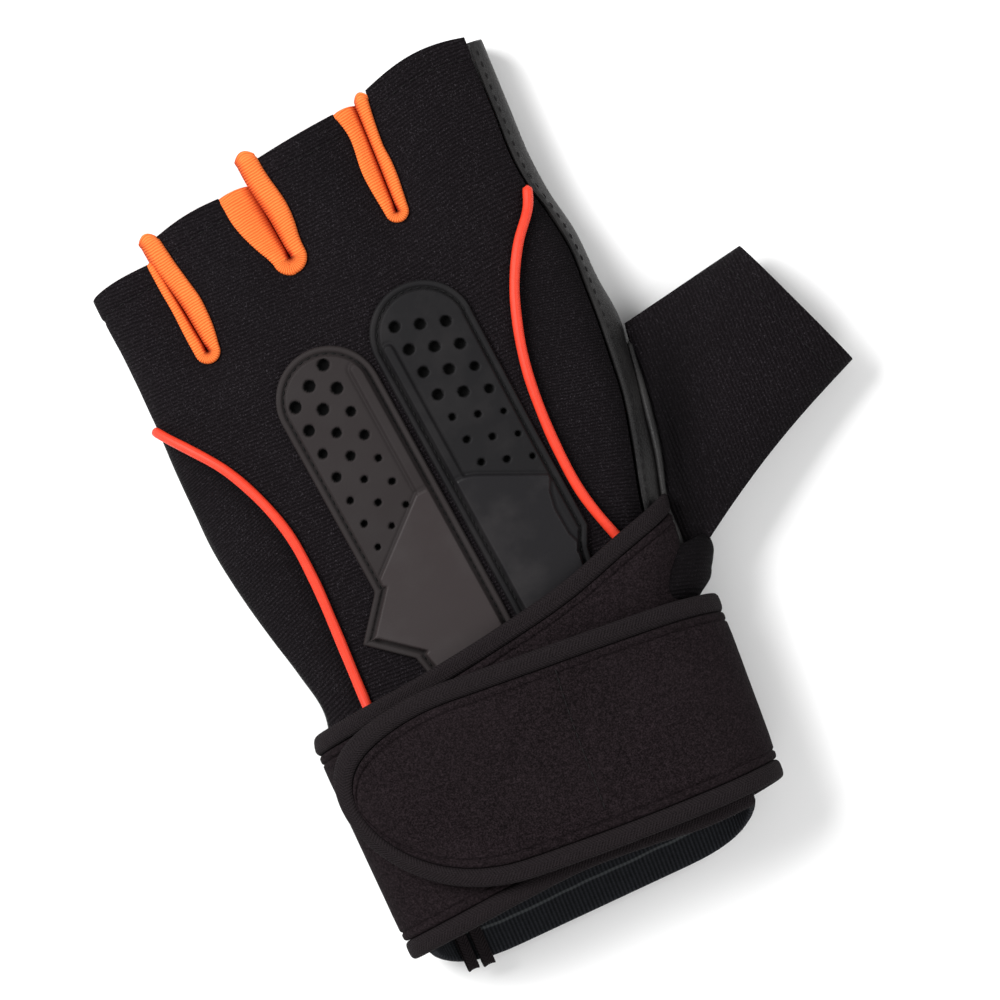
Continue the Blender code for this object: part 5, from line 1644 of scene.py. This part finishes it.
@dataclass
class KnucklePads:
    """The two moulded pads: a stitched flange, a field of round holes, a rib and a raised lower half."""

    wardrobe: Wardrobe
    stitching: Stitching
    strap: "WristStrap"
    width: float = 24.8
    gap: float = 1.2
    angle: float = 3.74
    middle: tuple[float, float] = (-0.022, 0.573)
    tuck: float = 4.0
    hole: float = 2.8
    clearance: float = 0.12
    columns: int = 84
    rows: int = 280
    flange: float = 1.25
    field_height: float = 1.75
    raised: float = 2.55
    rim_round: float = 0.5
    groove: float = 1.75  # the stitched groove's distance from the edge
    thread_sink: float = 0.38

    def point(self, shape: PadShape, across: np.ndarray, down: np.ndarray) -> tuple[np.ndarray, np.ndarray]:
        """The x and y of a pad's point: across from its inner edge, down from its top."""
        turn = math.radians(self.angle)
        middle = np.array([self.middle[0] * BAG.width / 2, self.middle[1] * BAG.length])
        up = shape.top * BAG.length - middle[1] - down
        outwards = shape.side.value * (self.gap / 2 + across)
        x = middle[0] - math.sin(turn) * up + math.cos(turn) * outwards
        y = middle[1] + math.cos(turn) * up + math.sin(turn) * outwards
        return x, y

    def length(self, shape: PadShape) -> float:
        """The pad's length, from its top to its end under the strap."""
        x = shape.side.value * self.width / 2
        along = np.interp(BAG.back_place(x, 0.0), *self.strap.places) - self.strap.start
        middle, half = self.strap.course(along / self.strap.length)
        return shape.top * BAG.length - (middle + half - self.tuck)

    def outline_width(self, shape: PadShape, down: np.ndarray, length: float) -> np.ndarray:
        """The pad's width at a distance down from its top."""
        share = np.clip(down / (length - self.tuck), 0.0, 1.0)
        at, width = np.array(shape.edges).T
        return np.interp(share, at, width) * self.width

    def inset(self, shape: PadShape, across: np.ndarray, down: np.ndarray, length: float) -> np.ndarray:
        """The distance of a point from the pad's outline, without its end under the strap."""
        radius = self.width / 2
        arc = radius - np.hypot(across - radius, down - radius)
        wide = self.outline_width(shape, down, length)
        slope = np.gradient(self.outline_width(shape, np.linspace(0.0, length, 400), length), length / 399)
        lean = 1 / np.hypot(1.0, np.interp(down, np.linspace(0.0, length, 400), slope))
        straight = np.minimum(across, (wide - across) * lean)
        return np.where(down < radius, arc, straight)

    def hole_depth(self, shape: PadShape, across: np.ndarray, down: np.ndarray) -> np.ndarray:
        """1 inside the pad's holes and 0 outside them, with a short slope between."""
        depth = np.zeros(across.shape)
        for row, first, sizes in shape.holes:
            for number, size in enumerate(sizes):
                step = first + number
                at = [
                    shape.first_hole[axis] + row * shape.row_step[axis] + step * shape.hole_step[axis]
                    for axis in (0, 1)
                ]
                away = np.hypot(across - at[0] * self.width, down - at[1] * self.width)
                radius = size * self.hole / 2
                depth = np.maximum(depth, 1 - ease(away, radius - 0.22, radius + 0.08))
        return depth

    def height(self, shape: PadShape, across: np.ndarray, down: np.ndarray, length: float) -> tuple:
        """The pad's height above the knit, and the shade at each point: painted shade in its holes and
        grooves, and a darker field.
        """
        edge = self.inset(shape, across, down, length)
        rim = self.flange * quarter_round(edge, self.rim_round)
        rim = np.where(edge < self.rim_round, np.maximum(rim, 0.35), self.flange)
        inside = ease(edge, 2.0, 2.6)
        at, start = np.array(shape.ridge).T
        below = down - np.interp(across, at, start)
        border_at, border = np.array(shape.border).T
        beyond = np.interp(down, border_at, border) - across
        raised = ease(below, -0.3, 0.45) * ease(beyond, -0.3, 0.5)
        raised = raised * ease(edge, 2.1, 2.9)
        inner, outer, first = shape.rib
        tip = np.hypot(across - (inner + outer) / 2, np.minimum(down - first - (outer - inner) / 2, 0.0))
        rib = 1 - ease(tip, (outer - inner) / 2 - 0.55, (outer - inner) / 2)
        rib = rib * (1 - 0.25 * ease(below, -6.0, 0.0))
        lift = np.maximum(raised, 1.25 * rib * (1 - raised)) * (self.raised - self.field_height)
        line = 0.22 * bell(below + 0.55, 0.3) * ease(beyond, -0.5, 0.3) * inside
        line = line + 0.22 * bell(tip - (outer - inner) / 2 - 0.25, 0.3) * (1 - ease(below, -1.0, 0.5))
        line = line + 0.25 * bell(beyond + 0.55, 0.35) * ease(below, -0.3, 0.5) * inside
        groove = bell(edge - self.groove, 0.38)
        high = rim + (self.field_height - self.flange) * inside + lift * inside - line * inside
        pit = self.hole_depth(shape, across, down) * ease(edge, 2.0, 2.4)
        crown = 0.35 * bell(across - self.width / 2, 10.0) * inside
        # painted shade in the stitched groove and along the raised half's border lines, and a darker field
        # outside the raised half
        groove_shade_and_dark_field = np.maximum(0.24 * (1 - raised), 0.5 * groove + 0.8 * line)
        return high + crown - 0.5 * groove - 1.75 * pit, np.maximum(pit, groove_shade_and_dark_field)

    def build(self) -> None:
        """Makes both pads."""
        for shape in PADS:
            self._pad(shape)
            self._sew(shape)

    def _pad(self, shape: PadShape) -> None:
        """One pad: a fine grid over its plan, which follows the round top, with its underside and its rim."""
        length = self.length(shape)
        radius = self.width / 2
        share = (1 - np.cos(math.pi * np.linspace(0.0, 1.0, self.columns + 1))) / 2
        share = 0.35 * share + 0.65 * np.linspace(0.0, 1.0, self.columns + 1)
        arc = radius - np.sqrt(np.maximum(radius**2 - (share * self.width - radius) ** 2, 0.0))
        rows = np.linspace(0.0, 1.0, self.rows + 1)[:, None]
        down = arc + (length - arc) * rows
        across = share * self.outline_width(shape, down, length)
        x, y = self.point(shape, across, down)
        place = BAG.back_place(x, y)
        high, pit = self.height(shape, across, down, length)
        top = BAG.skin(y, place, self.clearance + high)
        bottom = BAG.skin(y, place, self.clearance)
        piece = Piece("pad_rubber_" + shape.side.label)
        weave = pair(across, down)
        piece.grid(top, weave, pit)
        piece.grid(bottom[:, ::-1], weave[:, ::-1])
        for edge in (np.s_[0], np.s_[-1], np.s_[:, 0], np.s_[:, -1]):
            piece.grid(np.stack([top[edge], bottom[edge]]), np.zeros(2))
        rubber = self.wardrobe.warm_rubber if shape.side is Side.LITTLE else self.wardrobe.cool_rubber
        piece.build(rubber, "grey_rubber", ("pad_" + shape.side.label,), turn_out=True)

    def _sew(self, shape: PadShape) -> None:
        """Sews round the pad in its groove: up its outer side, round its top and down its inner side."""
        length = self.length(shape)
        radius = self.width / 2 - self.groove
        angle = np.linspace(0.0, math.pi, 60)
        down = np.linspace(length - self.tuck, self.width / 2, 120)
        wide = self.outline_width(shape, down, length)
        across = np.concatenate([wide - self.groove, self.width / 2 + radius * np.cos(angle),
                                 np.full(120, self.groove)])
        down = np.concatenate([down, self.width / 2 - radius * np.sin(angle), down[::-1]])
        x, y = self.point(shape, across, down)
        place = BAG.back_place(x, y)
        out = self.clearance + self.flange - self.thread_sink
        path = evenly(BAG.skin(y, place, out), 0.8)
        near = np.linspace(0, len(y) - 1, len(path)).astype(int)
        self.stitching.row(path, BAG.up(y, place, out)[near])


# The wrist


@dataclass
class WristStrap:
    """The wound wrist strap with its taped edges.

    Its middle surface lies at a distance from the cuff that grows by one turn where it passes its sewn end.
    A point of it is given by its length along the strap and its y.
    """

    wardrobe: Wardrobe
    stitching: Stitching
    length: float = 308.0
    width: float = 49.0
    thickness: float = 3.2
    clearance: float = 0.6
    start: float = 8.5
    end_length: float = 35.0
    tape_width: float = 4.6
    tape_thickness: float = 3.4
    middle: float = -0.42
    corner: float = 14.0
    climb: float = 14.0
    tuck_flat: float = 7.0
    tuck_slope: float = 28.0
    tuck_places: tuple[float, ...] = (0.05, 0.14, 0.79, 0.99)
    pad_height: float = 2.9
    stations: int = 250
    tip_stations: int = 34
    route: tuple[tuple[float, float, float], ...] = (
        (0.00, -0.275, 1.50), (0.04, -0.305, 1.42), (0.087, -0.330, 1.29), (0.14, -0.345, 1.20),
        (0.19, -0.367, 1.167), (0.25, -0.391, 1.157), (0.31, -0.414, 1.141), (0.45, -0.440, 1.00),
        (0.60, -0.490, 0.93), (0.66, -0.465, 0.92), (0.72, -0.440, 0.97), (0.77, -0.420, 0.99),
        (0.85, -0.385, 1.00), (0.90, -0.358, 1.00), (0.95, -0.315, 1.00), (1.00, -0.235, 1.00),
    )  # share, centre, width
    patch_seam: tuple[float, float] = (-5.0, -41.0)  # the y of the ends of the hook patch's stitch row
    edge_round: float = 0.9

    @property
    def layer(self) -> float:
        """The height of one turn."""
        return self.clearance + self.tape_thickness

    def course(self, share: np.ndarray) -> tuple[np.ndarray, np.ndarray]:
        """The strap's middle y and its half width at shares of its length."""
        at, centre, width = np.array(self.route).T
        return smooth(share, at, centre) * BAG.cuff_length, smooth(share, at, width) * self.width / 2

    def level(self, place: np.ndarray) -> np.ndarray:
        """The distance of the strap's middle from the cuff, over two turns of places."""
        first = self.clearance + self.tape_thickness / 2
        return first + self.layer * ease(place, BAG.places - self.climb, BAG.places)

    @cached_property
    def places(self) -> tuple[np.ndarray, np.ndarray]:
        """The places round the wrist, over two turns, and the strap's length up to each of them."""
        place = np.arange(0.0, 2 * BAG.places + 0.5, 0.5)
        ring = BAG.skin(self.middle * BAG.cuff_length, place, self.level(place))
        steps = np.hypot(*np.diff(ring[:, [0, 2]], axis=0).T)
        return place, running_total(steps)

    def stand_off(self, y: np.ndarray, place: np.ndarray) -> np.ndarray:
        """How far the strap's upper edge stands off the back, over the ends of the pads and pipings."""
        ring = place % BAG.places
        share = (np.interp(ring, *self.places) - self.start) / self.length
        middle, half = self.course(np.clip(share, 0.0, 1.0))
        rise, full, fall, end = np.array(self.tuck_places) * BAG.half
        across = ease(ring, rise, full) * (1 - ease(ring, fall, end))
        below = middle + half - y
        return self.pad_height * across * (1 - ease(below, self.tuck_flat, self.tuck_flat + self.tuck_slope))

    def point(self, length: np.ndarray, y: np.ndarray, out: np.ndarray | float = 0.0) -> np.ndarray:
        """Points of the strap at lengths along it and at y, moved outwards from its middle surface."""
        place = np.interp(length + self.start, self.places[1], self.places[0])
        return BAG.skin(y, place, self.level(place) + self.stand_off(y, place) + out)

    def outline(self, inset: float) -> tuple[np.ndarray, np.ndarray, np.ndarray]:
        """The strap's upper and lower edges, moved inwards by inset, up to its rounded end's tip.

        The end is half an ellipse: the width shrinks with a cosine as the length grows with a sine.
        """
        straight = self.length - self.end_length
        turn = np.linspace(0.0, math.pi / 2, self.tip_stations + 1)[1:]
        length = np.concatenate([
            np.linspace(0.0, straight, self.stations),
            straight + (self.end_length - inset) * np.sin(turn),
        ])
        shrink = np.concatenate([np.ones(self.stations), np.cos(turn)])
        middle, half = self.course(length / self.length)
        return length, middle + (half - inset) * shrink, middle - (half - inset) * shrink

    def build(self) -> None:
        """Makes the strap and its taped edge."""
        self._band()
        self._tape()
        self._sew()

    def _band(self) -> None:
        """The strap's band: a closed flat tube whose upper face has a sewn line inside each edge."""
        inset = self.tape_width + 0.04
        length, upper, lower = self.outline(inset)
        length, upper, lower = length[:-1], upper[:-1], lower[:-1]
        near = np.array([0.0, 0.12, 0.35, 0.7, 1.1, 1.5, 1.75, 1.95, 2.15, 2.35, 2.6, 3.0])
        wide = upper - lower
        reach = np.minimum(1.0, wide / 2 / 3.4)[:, None] * near
        centre = np.linspace(0.0, 1.0, 13)[1:-1]
        inner = reach[:, -1:] + (wide[:, None] - 2 * reach[:, -1:]) * centre
        down = np.concatenate([reach, inner, (wide[:, None] - reach)[:, ::-1]], axis=1)
        edge = np.minimum(down, wide[:, None] - down)
        half = self.thickness / 2
        crown = half * (0.45 + 0.55 * quarter_round(edge, self.edge_round))
        quilt = 0.45 * bell(edge - 2.1, 0.28) + 0.12 * (1 - ease(edge, 2.1, 5.0))
        length = length[:, None]
        out = crown - quilt + 0.10 * np.sin(length / 8.0) * ease(edge, 2.5, 9.0)
        y = upper[:, None] - down
        face, under = self.point(length, y, out), self.point(length, y, -crown)
        loop = np.concatenate([face, under[:, ::-1], face[:, :1]], axis=1)
        measure = np.concatenate([down, down[:, ::-1], down[:, :1]], axis=1)
        piece = Piece("strap_band")
        piece.grid(loop, pair(length, measure))
        piece.cap_ends(loop.shape[1] - 1, -1)
        band = piece.build(self.wardrobe.loop, "strap_fabric", ("wrist_strap",), turn_out=True)

    def _tape(self) -> None:
        """The binding tape: a rounded flat section carried along the strap's edges and round its end."""
        angle = np.linspace(0.0, 2 * math.pi, 25)
        inward = self.tape_width / 2 * (1 - signed_power(np.cos(angle), 0.62))
        out = self.tape_thickness / 2 * signed_power(np.sin(angle), 0.7)
        columns = []
        for inset, high in zip(inward, out):
            length, upper, lower = self.outline(float(inset))
            y = np.append(upper, lower[-2::-1])
            columns.append(self.point(np.append(length, length[-2::-1]), y, high))
        points = np.stack(columns, axis=1)
        run = path_length(points[:, 6])[:, None]
        around = path_length(np.stack([inward, out], axis=1))
        piece = Piece("strap_tape")
        piece.grid(points[:, ::-1], pair(run, around)[:, ::-1])
        piece.cap_ends(24)
        tape = piece.build(self.wardrobe.twill, "binding_tape", ("strap_binding",), turn_out=True)

    def _sew(self) -> None:
        """Sews the hook patch's end across the outer turn."""
        y = np.linspace(*self.patch_seam, 60)
        x = 6.8 - 1.3 * (y - self.patch_seam[0]) / -12.0 + 0.4 * np.sin(y / 9.0)
        place = BAG.places + BAG.back_place(x, y)
        level = self.level(place) + self.stand_off(y, place) + self.thickness / 2 + 0.03
        self.stitching.row(BAG.skin(y, place, level), BAG.up(y, place, level), 1.9)


@dataclass
class Cuff:
    """The elastic cuff inside the strap, and two folded tape ends on its palm side."""

    wardrobe: Wardrobe
    wall: float = 1.7
    slant: float = 14.0
    columns: int = 220
    rows: int = 44
    seam_gap: float = 0.9
    tape_width: float = 4.0
    tape_length: float = 14.0
    tape_show: float = 2.2
    tape_places: tuple[float, float] = (-0.84, -0.745)

    def end(self, place: np.ndarray) -> np.ndarray:
        """The y of the cuff's free end, longer on the palm than on the back."""
        turn = np.arange(BAG.places + 1)
        rise, drop = (np.interp(place % BAG.places, turn, column) for column in BAG.ring[1:])
        return -BAG.cuff_length + self.slant * (1 + rise - drop**2) / 2

    def build(self) -> None:
        """Makes the cuff and its tape ends."""
        place = np.linspace(0.0, BAG.places, self.columns + 1)
        share = np.linspace(0.0, 1.0, self.rows + 1)[:, None]
        end = self.end(place)
        y = end * (1 - share) - self.seam_gap * share
        ripple = 0.22 * np.sin(place / 3.3) * bell(y - end, 6.0) * bell(y - end, 12.0)
        inward = 0.35 * bell(y - end, 2.5)
        measure = path_length(BAG.skin(np.full(len(place), -20.0), place))
        piece = Piece("cuff_elastic_tube")
        piece.grid(BAG.skin(y, place, ripple * 0.5 - inward), pair(measure, y - end))
        made = piece.build(self.wardrobe.elastic, "cuff_elastic", ("cuff",))
        thicken(made, self.wall, round_off=0.5)
        for number, across in enumerate(self.tape_places, 1):
            self._tape(number, across)

    def _tape(self, number: int, across: float) -> None:
        """A folded tape end: the tape comes out past the cuff, folds over and goes back in."""
        place = BAG.palm_place(BAG.wrist_offset + across * BAG.wrist_width / 2, -BAG.cuff_length)
        half = self.tape_width / 2 / BAG.palm[2]
        columns = place + np.linspace(-half, half, 9)
        end = self.end(place) - self.tape_show
        turn = np.linspace(0.0, math.pi, 12)
        run = np.concatenate([
            np.linspace(self.tape_length, 0.5, 12), 0.45 * (1 - np.sin(turn)), np.linspace(0.5, 11.0, 12),
        ])
        fold = 0.42 + 0.25 * (number - 1)
        high = np.concatenate([np.full(12, -fold), -fold * np.cos(turn), np.full(12, fold)])
        lift = np.concatenate([np.zeros(18), np.linspace(0.0, 1.0, 18)]) * (1.6 - 0.5 * number) * 0.5
        out = -(self.wall + 1.1 + high + lift)
        y = (end + run)[:, None] + 0.25 * np.sin(np.linspace(0, math.pi, 9)) + (number - 1) * 0.5
        points = BAG.skin(y, columns + 0 * y, out[:, None] + 0.12 * np.sin(np.linspace(0.0, 3.0, 9)))
        along = running_total(np.abs(np.diff(run)) + np.abs(np.diff(high)))
        piece = Piece(f"folded_tape_{number}")
        piece.grid(points, pair(along[:, None], np.linspace(0.0, self.tape_width, 9)))
        made = piece.build(self.wardrobe.twill, "binding_tape", (f"cuff_tape_{number}",))
        thicken(made, 0.35, 0.0, 0.1)


# The studio


@dataclass
class Studio:
    """The pale floor, the soft lights and the camera, which looks straight down as in the photograph."""

    frame_width: float = 0.230  # width of the floor that the photograph shows
    distance: float = 2.0
    centre: tuple[float, float] = (11.7, 34.6)
    roll: float = 25.0  # degrees from the hand's length to the photograph's upright
    floor_reach: float = 6.0
    floor_drop: float = 0.0002  # keeps the floor clear of the glove's lowest points
    sky: float = 0.42  # the strength of the even light from all round

    def build(self) -> None:
        """Makes the floor, the lights and the camera."""
        self._floor()
        self._camera()
        self._light("key_softbox", (-0.75, 0.85, 1.15), 0.8, 34.0)
        self._light("fill_softbox", (1.05, -0.25, 1.0), 1.0, 9.0)
        self._light("rim_softbox", (-0.2, -1.1, 0.9), 0.8, 5.0)
        world = bpy.data.worlds.new("studio")
        bpy.context.scene.world = world
        world.use_nodes = True
        sky = world.node_tree.nodes["Background"].inputs
        sky["Color"].default_value = (1.0, 1.0, 1.0, 1.0)
        sky["Strength"].default_value = self.sky
        bpy.context.scene.view_settings.view_transform = "Standard"

    def _floor(self) -> None:
        """A square floor, a hair below the surface that the glove lies on."""
        reach = self.floor_reach
        corners = ((-reach, -reach), (reach, -reach), (reach, reach), (-reach, reach))
        mesh = bpy.data.meshes.new("floor")
        mesh.from_pydata([(x, y, -self.floor_drop) for x, y in corners], [], [(0, 1, 2, 3)])
        mesh.materials.append(Table().make())
        put_in_scene("floor", mesh)

    def _camera(self) -> None:
        """The camera above the glove, turned so that the hand leans as in the photograph."""
        turn = math.radians(self.roll)
        eye = bpy.data.cameras.new("camera")
        eye.sensor_width = 36.0
        eye.lens = eye.sensor_width * self.distance / self.frame_width
        eye.clip_end = 50.0
        camera = put_in_scene("camera", eye)
        place = (np.array([*self.centre, 0.0]) + CUFF_SEAM) * MM
        camera.matrix_world = Matrix((
            (math.cos(turn), math.sin(turn), 0.0, place[0]),
            (-math.sin(turn), math.cos(turn), 0.0, place[1]),
            (0.0, 0.0, 1.0, self.distance + 0.015),
            (0.0, 0.0, 0.0, 1.0),
        ))
        bpy.context.scene.camera = camera

    def _light(self, name: str, place: tuple[float, float, float], size: float, power: float) -> None:
        """A square area light that faces the glove."""
        lamp = bpy.data.lights.new(name, "AREA")
        lamp.size = size
        lamp.energy = power
        light = put_in_scene(name, lamp)
        light.location = place
        back = np.array(place) / np.linalg.norm(place)
        over = np.cross(UP, back)
        over /= np.linalg.norm(over)
        up = np.cross(back, over)
        turn = Matrix((over.tolist(), up.tolist(), back.tolist())).transposed()
        light.rotation_euler = turn.to_euler()


def main() -> None:
    """Builds the glove's looks over its solids and reports each piece."""
    logging.basicConfig(level=logging.INFO, format="%(name)s: %(message)s")
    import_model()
    Studio().build()
    wardrobe = Wardrobe()
    panels = Panels()
    seams = Stitching("hem_stitches")
    pad_seams = Stitching("pad_stitches", stitch=1.3, pitch=2.0, radius=0.16)
    strap = WristStrap(wardrobe, seams)
    palm = LeatherPalm(wardrobe, seams, panels)
    KnitBack(wardrobe, seams, panels).build()
    palm.build()
    Gussets(wardrobe, panels).build()
    ThumbStall(wardrobe, seams, palm).build()
    PipingCords(wardrobe).build()
    KnucklePads(wardrobe, pad_seams, strap).build()
    strap.build()
    Cuff(wardrobe).build()
    seams.piece.build(wardrobe.dark_thread, "black_knit", weld=False)
    pad_seams.piece.build(wardrobe.pad_thread, "grey_rubber", weld=False)


if __name__ == "__main__":
    main()
